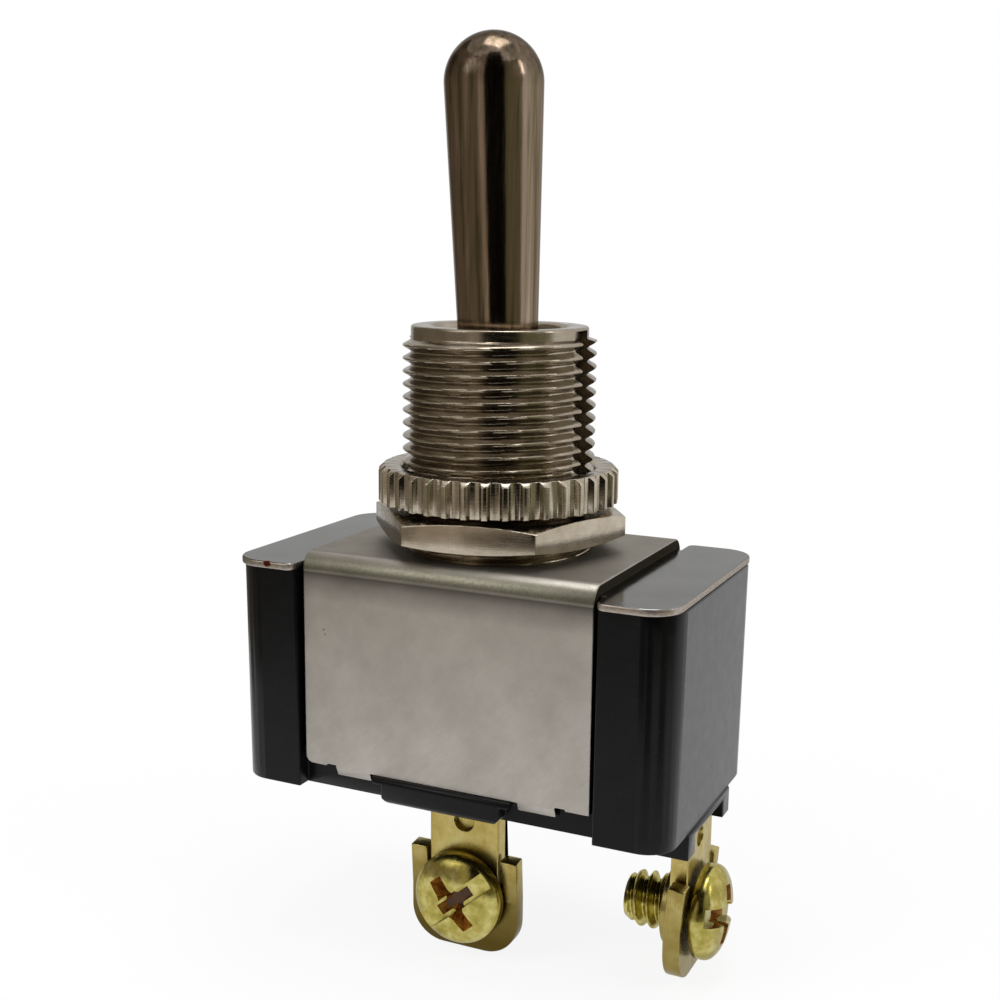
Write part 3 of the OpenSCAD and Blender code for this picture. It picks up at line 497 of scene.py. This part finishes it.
def turn_outwards(bm):
    """Turns the faces of a single shell outwards; its volume tells if they point inwards."""
    bmesh.ops.recalc_face_normals(bm, faces=bm.faces)
    if bm.calc_volume(signed=True) < 0:
        bmesh.ops.reverse_faces(bm, faces=bm.faces)


def mesh_from(bm, one_shell=True):
    """A mesh from a bmesh; the faces of a single shell are turned outwards."""
    if one_shell:
        turn_outwards(bm)
    mesh = bpy.data.meshes.new("work")
    bm.to_mesh(mesh)
    bm.free()
    return mesh


def rounded_copy(node, edge_mm, segments):
    """The node's own shape with its edges rounded."""
    source = frame["nodes"][node]
    bm = bmesh.new()
    bm.from_mesh(source.data)
    bm.transform(source.matrix_world)
    bmesh.ops.remove_doubles(bm, verts=bm.verts, dist=WELD)
    bmesh.ops.dissolve_limit(bm, angle_limit=math.radians(SAME_FACE), verts=bm.verts,
                             edges=bm.edges)
    return bevelled(mesh_from(bm), edge_mm, segments, EDGE_ANGLE, miter_outer="MITER_SHARP")


def rounded_piece(node, edge_mm, segments=2, cut=None):
    """The node's shape with rounded edges; faces for which cut holds are marked as cut."""
    mesh = rounded_copy(node, edge_mm, segments)
    if cut:
        marks = mesh.attributes.new("cut", "FLOAT", "FACE")
        marks.data.foreach_set("value", [float(cut(face.normal)) for face in mesh.polygons])
    finish_piece(node + "_rounded", mesh, node)
    for face in mesh.polygons:
        face.use_smooth = face.area < FLAT_AREA


# %% [markdown]
# ## Moulded body, strap and cover plate
#
# Moulded and stamped edges are never knife sharp: a small radius catches the light and tells
# the eye what the piece is made of. The frame already holds the forms, so each is copied and
# only its edges are rounded, by about a tenth of a millimetre. Faces that were sheared in the
# press are marked as cut, for their darker or rougher finish.

# %% Body, strap, plate and terminals
rounded_piece("housing", 0.08)
rounded_piece("frame_strap", 0.07, cut=lambda normal: abs(normal.x) > 0.95)
rounded_piece("cover_plate", 0.10, 3, cut=lambda normal: abs(normal.z) < 0.6)
rounded_piece("center_terminal", 0.08)
rounded_piece("end_terminal", 0.08)

# %% [markdown]
# ## Turned pieces
#
# Lever and bushing come off a screw machine, so both are lathed: an outline is turned round an
# axis. A thread is the same idea with one change: the radius also follows a wave along the
# axis, and the wave moves one pitch each turn.

# %% Lathe and thread helpers
def join_rings(bm, first, second):
    """Faces between two rings of as many corners."""
    for i in range(len(first)):
        j = (i + 1) % len(first)
        bm.faces.new((first[i], first[j], second[j], second[i]))


def ring_grid(rings, closed):
    """A closed surface through rings of points in mm, each with as many points.

    The last ring joins the first if closed holds; otherwise both are capped.
    """
    bm = bmesh.new()
    rows = [[bm.verts.new([c * MM for c in point]) for point in ring] for ring in rings]
    for first, second in zip(rows, rows[1:] + (rows[:1] if closed else [])):
        join_rings(bm, first, second)
    if not closed:
        bm.faces.new(rows[0])
        bm.faces.new(rows[-1])
    return bm


def lathe(outline, steps=96):
    """Turns an outline of (radius, height) in mm round Z. A point at radius 0 is a pole."""
    bm = bmesh.new()
    rings = []
    for radius, height in outline:
        if radius == 0:
            rings.append([bm.verts.new((0, 0, height * MM))])
        else:
            turns = [2 * math.pi * i / steps for i in range(steps)]
            rings.append([bm.verts.new((radius * MM * math.cos(t), radius * MM * math.sin(t),
                                        height * MM)) for t in turns])
    closed = outline[0][0] > 0
    for first, second in zip(rings, rings[1:] + (rings[:1] if closed else [])):
        if len(first) == len(second):
            join_rings(bm, first, second)
            continue
        for i in range(steps):
            j = (i + 1) % steps
            if len(first) == 1:
                bm.faces.new((first[0], second[i], second[j]))
            else:
                bm.faces.new((first[i], first[j], second[0]))
    return bm


def arc(centre_r, centre_z, radius, start, end, steps):
    """Points of an arc in the (radius, height) plane, angles in degrees."""
    angles = [math.radians(start + (end - start) * i / steps) for i in range(steps + 1)]
    return [(centre_r + radius * math.cos(a), centre_z + radius * math.sin(a)) for a in angles]


THREAD_R = frame["record"]["mounts"][0]["dims"]["r_mm"]
PITCH = 0.79375
ROWS_PER_PITCH = 14
THREAD_FLAT = 0.10  # share of the pitch that is flat root, and that is flat crest
STRAIGHT, EASED = 0.55, 0.45  # shares of a straight flank and of one that eases in and out


def thread_wave(turns):
    """Height of a 60 degree thread between root 0 and crest 1, once per turn."""
    phase = turns % 1.0
    flank = abs(2 * phase - 1)
    rise = min(1.0, max(0.0, (flank - THREAD_FLAT) / (1 - 2 * THREAD_FLAT)))
    return STRAIGHT * rise + EASED * rise * rise * (3 - 2 * rise)


print("bushing thread radius, mm:", THREAD_R)

# %% [markdown]
# ## The bushing
#
# Thirty-two threads to the inch, a keyway down one side, and a dished mouth the lever swings
# in. One grid makes all of it: each column of points runs up the bore, over the rim and down
# the thread, and the columns at the keyway run down its walls and floor in place of the thread.

# %% Bushing with its thread and keyway
ROOT_R = THREAD_R - 0.49
FIRST_CREST_Z = 12.866
THREAD_START = 0.13
THREAD_BEARING = math.radians(25)  # where round the bushing the first crest is at its height
LEAD_R = 5.45
LEAD_SLOPE = 4  # radius gained for each mm below the thread's start
KEY_HALF = 0.95
KEY_FLOOR_X = THREAD_R - 0.95
KEY_FOOT_Z = 1.5
KEY_COLUMNS = (-1.0, -0.5, 0.0, 0.5, 1.0)  # as shares of the keyway's half width
TURN_COLUMNS = 150
bushing_low, bushing_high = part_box("bushing")
BUSHING_TOP = bushing_high.z / MM
BUSHING_FOOT = bushing_low.z / MM


def bushing_radius(angle, z):
    """Radius of the threaded outside at an angle and a height."""
    lead_in = LEAD_R + max(0.0, (FIRST_CREST_Z + THREAD_START - z) * LEAD_SLOPE)
    turns = (z - FIRST_CREST_Z) / PITCH - (angle - THREAD_BEARING) / (2 * math.pi)
    cut = ROOT_R + (THREAD_R - ROOT_R) * thread_wave(turns)
    return min(cut, lead_in) if z < FIRST_CREST_Z + THREAD_START else LEAD_R


def at_angle(outline, angle):
    """Points of an outline of (radius, height) at an angle round Z."""
    return [(r * math.cos(angle), r * math.sin(angle), z) for r, z in outline]


def across_key(angle, across, z):
    """Point of the threaded outside at a distance across the keyway."""
    return (math.sqrt(bushing_radius(angle, z) ** 2 - across ** 2), across, z)


def bushing_mesh():
    """Closed grid of the bushing: each column is an outline of it at one angle."""
    inside = [(4.0, BUSHING_FOOT + 0.05), (3.5, BUSHING_FOOT + 2.6), (3.5, 9.8), (3.5, 10.2),
              (3.3, 10.6), (3.42, 11.4), (3.62, 12.2), (3.9, 12.95)]
    inside += arc(4.45, BUSHING_TOP - 0.42, 0.42, 170, 90, 6)
    inside += arc(LEAD_R - 0.16, BUSHING_TOP - 0.16, 0.16, 90, 0, 4)
    thread_top = inside[-1][1]
    rows = int((thread_top - STRAP_TOP) / (PITCH / ROWS_PER_PITCH))
    heights = [thread_top - (thread_top - STRAP_TOP) * i / rows for i in range(1, rows + 1)]
    foot = [(5.0, STRAP_TOP), (5.0, STRAP_TOP - 0.6), (5.5, STRAP_TOP - 0.66),
            (5.5, BUSHING_FOOT)]
    edge = math.asin(KEY_HALF / THREAD_R)
    columns = []
    for number in range(TURN_COLUMNS + 1):
        angle = edge + (2 * math.pi - 2 * edge) * number / TURN_COLUMNS
        if number in (0, TURN_COLUMNS):
            side = KEY_HALF if number == 0 else -KEY_HALF
            wall = [across_key(angle, side, z) for z in heights]
        else:
            wall = at_angle([(bushing_radius(angle, z), z) for z in heights], angle)
        columns.append(at_angle(inside, angle) + wall + at_angle(foot, angle))
    for share in KEY_COLUMNS:
        angle = share * edge
        wall = [(min(KEY_FLOOR_X, LEAD_R), share * KEY_HALF, z) if z > KEY_FOOT_Z
                else across_key(angle, share * KEY_HALF, z) for z in heights]
        columns.append(at_angle(inside, angle) + wall + at_angle(foot, angle))
    bm = ring_grid(columns, closed=True)
    bmesh.ops.remove_doubles(bm, verts=bm.verts, dist=SAME_POINT)
    bmesh.ops.dissolve_degenerate(bm, dist=SAME_POINT, edges=bm.edges)
    return mesh_from(bm)


finish_piece("bushing_thread", bushing_mesh(), "bushing", 40)

# %% [markdown]
# ## The lever
#
# A bat lever is thickest at its round tip and slims to its neck, where it meets the ball it
# turns on. Its pin sets the turning point, so the outline is drawn upright round the pin and
# then leant over as the frame's own lever leans.

# %% Lever
JOINTS = {joint["name"]: joint for joint in frame["record"]["behaviour"]["joints"]}
pivot = Vector(JOINTS["lever_tilt"]["pos_m"])
slide_axis = Vector(JOINTS["plunger_slide"]["axis"])
LEAN = math.atan2(slide_axis.x, slide_axis.z)
# Radii, and heights above the pivot, in mm
TIP_R, TIP_REACH = 3.0, 20.0
BAT_TOP_R, BAT_SLOPE, BAT_FOOT_R = 2.98, 0.0365, 2.22
NECK_R, BALL_R = 2.3, 3.42
STEM_R, STEM_TOP, STEM_END = 1.95, -3.4, -11.2
SOCKET_R, SOCKET_TOP = 1.25, -2.42


def lever_mesh():
    """The lever, drawn round its pivot and leant over."""
    taper = math.asin((TIP_R - BAT_FOOT_R) / TIP_REACH)
    tip = arc(0, TIP_REACH, TIP_R, 90, -math.degrees(taper), 28)
    neck_z = math.sqrt(BALL_R ** 2 - NECK_R ** 2)
    ball = arc(0, 0, BALL_R, math.degrees(math.atan2(neck_z, NECK_R)), -55, 20)
    outline = [(0, TIP_REACH + TIP_R)] + tip[1:]
    outline += [(BAT_TOP_R - BAT_SLOPE * k, TIP_REACH - 0.6 - k) for k in range(1, 16)]
    outline += ball + [(STEM_R, STEM_TOP), (STEM_R, STEM_END + 0.1), (STEM_R - 0.1, STEM_END)]
    outline += [(SOCKET_R + 0.1, STEM_END), (SOCKET_R, STEM_END + 0.1), (SOCKET_R, SOCKET_TOP),
                (0, SOCKET_TOP)]
    bm = lathe(outline, 128)
    bm.transform(Matrix.Translation(pivot) @ Matrix.Rotation(LEAN, 4, "Y"))
    return mesh_from(bm)


finish_piece("bat_lever", lever_mesh(), "lever", 30)

# %% [markdown]
# ## The nuts
#
# The ring nut's knurl is a row of wide, shallow grooves with a narrow land between each two.
# Geometry Nodes puts one cutter at each point of a circle and subtracts them all from a turned
# blank, with the number of grooves and the cutters' place as inputs. The hexagon nut is the
# frame's own nut with its edges rounded.

# %% Knurling tree
def new_tree(name, inputs):
    """A Geometry Nodes tree with geometry in and out and its named inputs."""
    tree = bpy.data.node_groups.new(name, "GeometryNodeTree")
    tree.interface.new_socket("Geometry", in_out="INPUT", socket_type="NodeSocketGeometry")
    tree.interface.new_socket("Geometry", in_out="OUTPUT", socket_type="NodeSocketGeometry")
    sockets = {}
    for title, kind in inputs:
        sockets[title] = tree.interface.new_socket(title, in_out="INPUT",
                                                   socket_type="NodeSocket" + kind)
    start = add(tree, "NodeGroupInput")
    end = add(tree, "NodeGroupOutput")
    return tree, start, end, {title: socket.identifier for title, socket in sockets.items()}


def knurl_tree():
    """Subtracts a ring of cutters from the geometry that comes in."""
    tree, start, end, names = new_tree("knurl", [
        ("Cutter", "Object"), ("Teeth", "Int"), ("Radius", "Float"), ("Height", "Float"),
        ("Finish", "Material")])
    circle = add(tree, "GeometryNodeMeshCircle", {"Vertices": start.outputs["Teeth"],
                                                  "Radius": start.outputs["Radius"]})
    position = add(tree, "GeometryNodeInputPosition")
    split = add(tree, "ShaderNodeSeparateXYZ", {0: position.outputs[0]})
    angle = calculate(tree, "ARCTAN2", split.outputs["Y"], split.outputs["X"])
    turn = add(tree, "ShaderNodeCombineXYZ", {"Z": angle})
    lift = add(tree, "ShaderNodeCombineXYZ", {"Z": start.outputs["Height"]})
    raised = add(tree, "GeometryNodeSetPosition", {"Geometry": circle.outputs["Mesh"],
                                                   "Offset": lift.outputs[0]})
    cutter = add(tree, "GeometryNodeObjectInfo", {"Object": start.outputs["Cutter"]})
    cutters = add(tree, "GeometryNodeInstanceOnPoints", {
        "Points": raised.outputs[0], "Instance": cutter.outputs["Geometry"],
        "Rotation": turn.outputs[0]})
    real = add(tree, "GeometryNodeRealizeInstances", {0: cutters.outputs[0]})
    cut = add(tree, "GeometryNodeMeshBoolean", {"Mesh 1": start.outputs["Geometry"],
                                                "Mesh 2": real.outputs[0]},
              operation="DIFFERENCE", solver="EXACT")
    solid = add(tree, "GeometryNodeRealizeInstances", {0: cut.outputs["Mesh"]})
    painted = add(tree, "GeometryNodeSetMaterial", {"Geometry": solid.outputs[0],
                                                    "Material": start.outputs["Finish"]})
    tree.links.new(painted.outputs[0], end.inputs[0])
    return tree, names


tree, names = knurl_tree()
print("knurling tree:", len(tree.nodes), "nodes")

# %% Knurled ring nut
RING_TEETH = 38
ring_low, ring_high = (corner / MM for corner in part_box("knurled_nut"))
RING_R = ring_high.x
RING_BORE_R = 5.98
GROOVE_DEPTH = 0.34
GROOVE_WIDTH = 0.93
GROOVE_FLOOR = 0.56
GROOVE_DISH = 0.05
CUTTER_REACH = 0.5
CUTTER_OVER = 1  # how far the cutters pass each face of the nut


def ring_blank():
    """Turned blank of the ring nut: chamfered top, thin lip at its foot."""
    low, high = ring_low.z, ring_high.z
    outline = [(RING_BORE_R, low + 0.2), (RING_BORE_R + 0.2, low), (RING_R - 0.07, low)]
    outline += [(RING_R - 0.02, low + 0.02), (RING_R, low + 0.07), (RING_R, high - 0.32)]
    outline += [(RING_R - 0.04, high - 0.25), (RING_R - 0.28, high - 0.03), (RING_R - 0.36, high)]
    outline += [(RING_BORE_R + 0.24, high), (RING_BORE_R + 0.16, high - 0.04)]
    outline += [(RING_BORE_R, high - 0.2)]
    return mesh_from(lathe(outline, 228))


def groove_cutter():
    """Cutter of a wide groove that points at the nut's axis, its floor at the cutter's origin."""
    tall = ring_high.z - ring_low.z + 2 * CUTTER_OVER
    floor = GROOVE_FLOOR / 2
    half = floor + (GROOVE_WIDTH / 2 - floor) * CUTTER_REACH / GROOVE_DEPTH
    outline = [(0, floor), (-GROOVE_DISH, 0), (0, -floor), (CUTTER_REACH, -half),
               (CUTTER_REACH, half)]
    rings = [[(x, y, z) for x, y in outline] for z in (0, tall)]
    return bpy.data.objects.new("groove_cutter", mesh_from(ring_grid(rings, closed=False)))


cutter = groove_cutter()
knurled = baked(ring_blank(), "NODES", {
    names["Cutter"]: cutter, names["Teeth"]: RING_TEETH,
    names["Radius"]: (RING_R - GROOVE_DEPTH) * MM,
    names["Height"]: (ring_low.z - CUTTER_OVER) * MM,
    names["Finish"]: FINISH["nickel"]}, node_group=tree)
bpy.data.objects.remove(cutter)
finish_piece("knurled_ring_nut", bevelled(knurled, 0.03, 2, 40), "knurled_nut", 50)

# %% Hexagon nut
rounded_piece("hex_nut", 0.06)

# %% [markdown]
# ## The terminal screws
#
# Each screw is turned and threaded brass with a domed head, which takes a flat or a cross
# driver. The shank is lathed with a thread wave, the head is a lathed button, and the recess
# is cut from it. A number on each face marks the cross for its brown colour and painted shade:
# 0 outside the cross, 1 on its walls and 2 on its floor.

# %% Screw shape
SCREW_R = 1.75
SCREW_ROOT_R = 1.30
HEAD_R = 2.925
HEAD_RIM = 0.45
HEAD_TOP = 1.65
DOME_POWER = 2.3
SLOT_WIDTH, SLOT_DEPTH = 1.1, 0.72
CROSS_DEPTH = 1.2
CROSS_TOP = (2.0, 0.95, 0.42)
CROSS_FLOOR = (0.95, 0.52, 0.12)
THREAD_SHIFT = 0.26
UNDERCUT = 0.25  # plain length below the head
POINT_LENGTH, POINT_SLOPE = 0.75, 0.55


def dome_height(radius):
    """Height of the rounded head above its seat at a radius."""
    share = min(1.0, radius / HEAD_R)
    return HEAD_RIM + (HEAD_TOP - HEAD_RIM) * (1 - share ** DOME_POWER) ** (1 / DOME_POWER)


def head_outline():
    """Outline of the head, from its seat over the rim and the dome to the axis."""
    rim = [(HEAD_R - 0.12, 0.0), (HEAD_R - 0.03, 0.05), (HEAD_R, 0.16)]
    radii = [HEAD_R * math.cos(math.radians(90 * i / 18)) ** 0.9 for i in range(18)]
    return [(0, 0)] + rim + [(r, dome_height(r)) for r in radii] + [(0, HEAD_TOP)]


def rectangle(width, length, height):
    """Corners of a rectangle centred on Z, at a height."""
    return [(x * (length / 2), y * (width / 2), height)
            for x, y in ((-1, -1), (1, -1), (1, 1), (-1, 1))]


def cut_away(mesh, *cutters):
    """Subtracts each cutter's mesh from mesh."""
    for tool_mesh in cutters:
        tool = bpy.data.objects.new("tool", tool_mesh)
        bpy.context.scene.collection.objects.link(tool)
        mesh = baked(mesh, "BOOLEAN", operation="DIFFERENCE", object=tool, solver="EXACT")
        bpy.data.objects.remove(tool)
    return mesh


def cross_ring(length, width, fillet, height):
    """Outline of a cross with rounded inner corners, as points at a height."""
    ring = []
    for quarter in range(4):
        corner = [(length, -width / 2), (length, width / 2)]
        corner += arc(width / 2 + fillet, width / 2 + fillet, fillet, 270, 180, 5)
        turn = Matrix.Rotation(quarter * math.pi / 2, 3, "Z")
        ring += [turn @ Vector((x, y, height)) for x, y in corner]
    return ring


def cross_cutter():
    """Tapered cross: wide at the head's top, narrow at its floor, and carried on above."""
    floor_z = HEAD_TOP - CROSS_DEPTH
    above = [2 * top - low for top, low in zip(CROSS_TOP, CROSS_FLOOR)]
    rings = [cross_ring(*CROSS_FLOOR, floor_z), cross_ring(*CROSS_TOP, HEAD_TOP),
             cross_ring(*above, HEAD_TOP + CROSS_DEPTH)]
    return mesh_from(ring_grid(rings, closed=False))


def slot_cutter():
    """Block through the whole head, a little wider at its top."""
    width, length = SLOT_WIDTH, 2.4 * HEAD_R
    rings = [rectangle(width, length, HEAD_TOP - SLOT_DEPTH),
             rectangle(width + 0.12, length + 0.12, HEAD_TOP + 1)]
    return mesh_from(ring_grid(rings, closed=False))


def screw_shank(length, steps=56):
    """Threaded shank from the head's seat down, with a tapered point."""
    rows = int(length / PITCH * ROWS_PER_PITCH)
    rings = []
    for row in range(rows + 1):
        z = -length * row / rows
        widest = SCREW_R - max(0.0, POINT_LENGTH - (length + z)) * POINT_SLOPE
        ring = []
        for i in range(steps):
            turn = 2 * math.pi * i / steps
            wave = thread_wave((z + THREAD_SHIFT) / PITCH - turn / (2 * math.pi))
            cut = min(SCREW_ROOT_R + (SCREW_R - SCREW_ROOT_R) * wave, widest)
            radius = cut if z <= -UNDERCUT else SCREW_ROOT_R
            ring.append((radius * math.cos(turn), radius * math.sin(turn), z))
        rings.append(ring)
    return mesh_from(ring_grid(rings, closed=False))


def recess_depth(centre):
    """0 outside the cross, 1 on its walls and 2 on its floor, for a face's centre in mm."""
    under_dome = 0.1 < centre.z < dome_height(centre.xy.length) - 0.12
    below_slot = centre.z < HEAD_TOP - SLOT_DEPTH - 0.03
    beside_slot = abs(centre.y) > SLOT_WIDTH / 2 + 0.05
    if not (under_dome and (below_slot or beside_slot) and centre.xy.length < HEAD_R - 0.4):
        return 0.0
    return 2.0 if centre.z < HEAD_TOP - CROSS_DEPTH + 0.03 else 1.0


def screw_mesh(place, direction, slot_turn, length):
    """A whole screw with its head's seat at place and its head towards direction."""
    head = mesh_from(lathe(head_outline()))
    bm = bmesh.new()
    bm.from_mesh(cut_away(head, slot_cutter(), cross_cutter()))
    turn_outwards(bm)
    depth = bm.faces.layers.float.new("depth")
    for face in bm.faces:
        face[depth] = recess_depth(face.calc_center_median() / MM)
    bm.from_mesh(screw_shank(length))
    upright = Vector((0, 0, 1)).rotation_difference(direction).to_matrix().to_4x4()
    bm.transform(Matrix.Translation(place) @ upright @ Matrix.Rotation(slot_turn, 4, "Z"))
    return mesh_from(bm, one_shell=False)


print("screw head radius, mm:", HEAD_R)

# %% Both screws
HEAD_GAP = 0.26


def terminal_screw(node, slot_turn):
    """A terminal screw on its joint's axis, with its slot turned by an angle in degrees."""
    joint = JOINTS[node + "_turn"]
    axis = Vector(joint["axis"])
    seat = Vector(joint["pos_m"]) + axis * HEAD_GAP * MM
    low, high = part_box(node)
    length = abs((high - low).dot(axis)) / MM - HEAD_TOP
    mesh = screw_mesh(seat, axis, math.radians(slot_turn), length - 0.01)
    finish_piece(node + "_threaded", mesh, node, 40)


terminal_screw("center_screw", 40)
terminal_screw("end_screw", 74)

# %% [markdown]
# ## Floor, light and camera
#
# The switch stands in a plain white studio. Plated metal shows mostly its surroundings: white
# from behind, and the dark side of the room, where the camera is, from in front. The floor
# keeps a soft shadow near the switch, and soft lamps from above and from two sides light it.

# %% Floor and world
def bright_rays(tree):
    """1 for camera, mirror and glass rays, which see plain white; 0 for the rays that light."""
    rays = add(tree, "ShaderNodeLightPath").outputs
    direct = calculate(tree, "MAXIMUM", rays["Is Camera Ray"], rays["Is Glossy Ray"])
    return calculate(tree, "MAXIMUM", direct, rays["Is Transmission Ray"])


def studio_world():
    """World: plain white to the eye and in mirrors, softer as a light."""
    world = bpy.data.worlds.new("studio")
    bpy.context.scene.world = world
    world.use_nodes = True
    tree = world.node_tree
    tree.nodes.clear()
    white = add(tree, "ShaderNodeBackground", {"Color": (1, 1, 1, 1), "Strength": 1.0})
    glow = add(tree, "ShaderNodeBackground", {"Color": linear("#f2f4f7"), "Strength": 0.6})
    both = add(tree, "ShaderNodeMixShader", {0: bright_rays(tree), 1: glow.outputs[0],
                                             2: white.outputs[0]})
    add(tree, "ShaderNodeOutputWorld", {"Surface": both.outputs[0]})


FLOOR_SIZE = 6
FLOOR_GAP = 0.5 * MM
SHADOW_REACH = 60
SHADOW_SHARE = 0.12


def studio_floor():
    """White floor that keeps a soft shadow round the switch and is plain white farther off."""
    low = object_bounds()[0]
    bpy.ops.mesh.primitive_plane_add(size=FLOOR_SIZE, location=(0, 0, low.z - FLOOR_GAP))
    floor = bpy.context.object
    floor.name = "floor"
    material, tree, shader, place = new_material("white_floor", Roughness=1.0)
    shader.inputs["Base Color"].default_value = linear("#f4f4f4")
    away = add(tree, "ShaderNodeVectorMath", {0: place}, operation="LENGTH").outputs["Value"]
    plain = spread(tree, away, 1 - SHADOW_SHARE, 1.0, 0.3 * SHADOW_REACH * MM, SHADOW_REACH * MM)
    share = calculate(tree, "MULTIPLY", plain, bright_rays(tree))
    white = add(tree, "ShaderNodeEmission", {"Color": (1, 1, 1, 1), "Strength": 1.0})
    both = add(tree, "ShaderNodeMixShader", {0: share, 1: shader.outputs[0],
                                             2: white.outputs[0]})
    tree.links.new(both.outputs[0], tree.nodes["Material Output"].inputs["Surface"])
    floor.data.materials.append(material)
    print("floor at", round(floor.location.z / MM, 2), "mm")


studio_world()
studio_floor()

# %% [markdown]
# ## Cards for the mirrors
#
# A polished face shows what stands round it. Tall curved cards that glow in one tone stand for
# the dark side of the room, as grey cards do in a real studio. Only mirror rays see them, so
# they light nothing and cast no shadow. The darkest is straight behind the camera, and its
# foot is lighter.

# %% Cards
CARD_REACH = 70
CARD_LOW = -27


def card(name, start, end, colour, high, low=CARD_LOW):
    """Upright curved card between two bearings, in degrees from the front towards +X.

    It glows in its colour, and only mirror rays see it.
    """
    bm = bmesh.new()
    steps = max(2, int((end - start) / 6))
    rows = []
    for i in range(steps + 1):
        bearing = math.radians(start + (end - start) * i / steps)
        x, y = math.sin(bearing) * CARD_REACH * MM, -math.cos(bearing) * CARD_REACH * MM
        rows.append((bm.verts.new((x, y, low * MM)), bm.verts.new((x, y, high * MM))))
    for first, second in zip(rows, rows[1:]):
        bm.faces.new((first[0], second[0], second[1], first[1]))
    mesh = bpy.data.meshes.new(name)
    bm.to_mesh(mesh)
    bm.free()
    screen = bpy.data.objects.new(name, mesh)
    bpy.context.scene.collection.objects.link(screen)
    material = bpy.data.materials.new(name)
    material.use_nodes = True
    tree = material.node_tree
    tree.nodes.clear()
    glow = add(tree, "ShaderNodeEmission", {"Color": linear(colour), "Strength": 1.0})
    add(tree, "ShaderNodeOutputMaterial", {"Surface": glow.outputs[0]})
    mesh.materials.append(material)
    for ray in ("camera", "diffuse", "shadow", "transmission", "volume_scatter"):
        setattr(screen, "visible_" + ray, False)
    print(f"{name}: card up to {high} mm")


card("dim_side", -120, -13, "#8c8477", 110)
card("front_edge", -13, 2, "#bbb1a3", 130)
card("dark_front", 2, 50, "#101010", 170, low=-7)
card("low_front", 2, 50, "#6f675f", -7)
card("dim_right", 50, 92, "#87856b", 90)

# %% Lamps
LAMP_AIM = Vector((0, 0, 5))


def lamp(name, place_mm, size_mm, power):
    """A square soft white lamp, aimed at the switch."""
    data = bpy.data.lights.new(name, "AREA")
    data.size = size_mm * MM
    data.energy = power
    light = bpy.data.objects.new(name, data)
    light.location = Vector(place_mm) * MM
    toward = LAMP_AIM * MM - light.location
    light.rotation_euler = toward.to_track_quat("-Z", "Y").to_euler()
    bpy.context.scene.collection.objects.link(light)
    print(f"{name}: lamp, {size_mm} mm square")


lamp("key", (-110, -170, 150), 90, 0.20)
lamp("side", (190, -10, 120), 90, 0.12)
lamp("top", (0, 20, 230), 110, 0.20)

# %% [markdown]
# ## Camera
#
# The switch is seen from its front right, slightly from above and from near by. Three
# directions place the camera: back towards it, across the picture and up the picture. A small
# roll tilts the last two.

# %% Camera
AZIMUTH, ELEVATION, ROLL = (math.radians(a) for a in (25.146, 10.613, 0.604))
DISTANCE, LENS, SENSOR = 88.23, 50.49, 36  # mm
AIM_X, AIM_Z = 0.139, 2.765  # mm from the origin, across and up in the picture


def photo_camera():
    """Camera at the switch's front right, slightly above."""
    back = Vector((math.sin(AZIMUTH) * math.cos(ELEVATION),
                   -math.cos(AZIMUTH) * math.cos(ELEVATION), math.sin(ELEVATION)))
    right = Vector((math.cos(AZIMUTH), math.sin(AZIMUTH), 0))
    up = back.cross(right)
    across = math.cos(ROLL) * right + math.sin(ROLL) * up
    upward = -math.sin(ROLL) * right + math.cos(ROLL) * up
    data = bpy.data.cameras.new("camera")
    data.lens = LENS
    data.sensor_width = SENSOR
    data.clip_start = 0.005
    data.clip_end = 10
    camera = bpy.data.objects.new("camera", data)
    spot = (across * AIM_X + upward * AIM_Z + back * DISTANCE) * MM
    turn = Matrix((across, upward, back)).transposed().to_4x4()
    camera.matrix_world = Matrix.Translation(spot) @ turn
    bpy.context.scene.collection.objects.link(camera)
    bpy.context.scene.camera = camera
    print("camera at", [round(c / MM, 1) for c in camera.location])


photo_camera()
bpy.context.scene.view_settings.view_transform = "Standard"
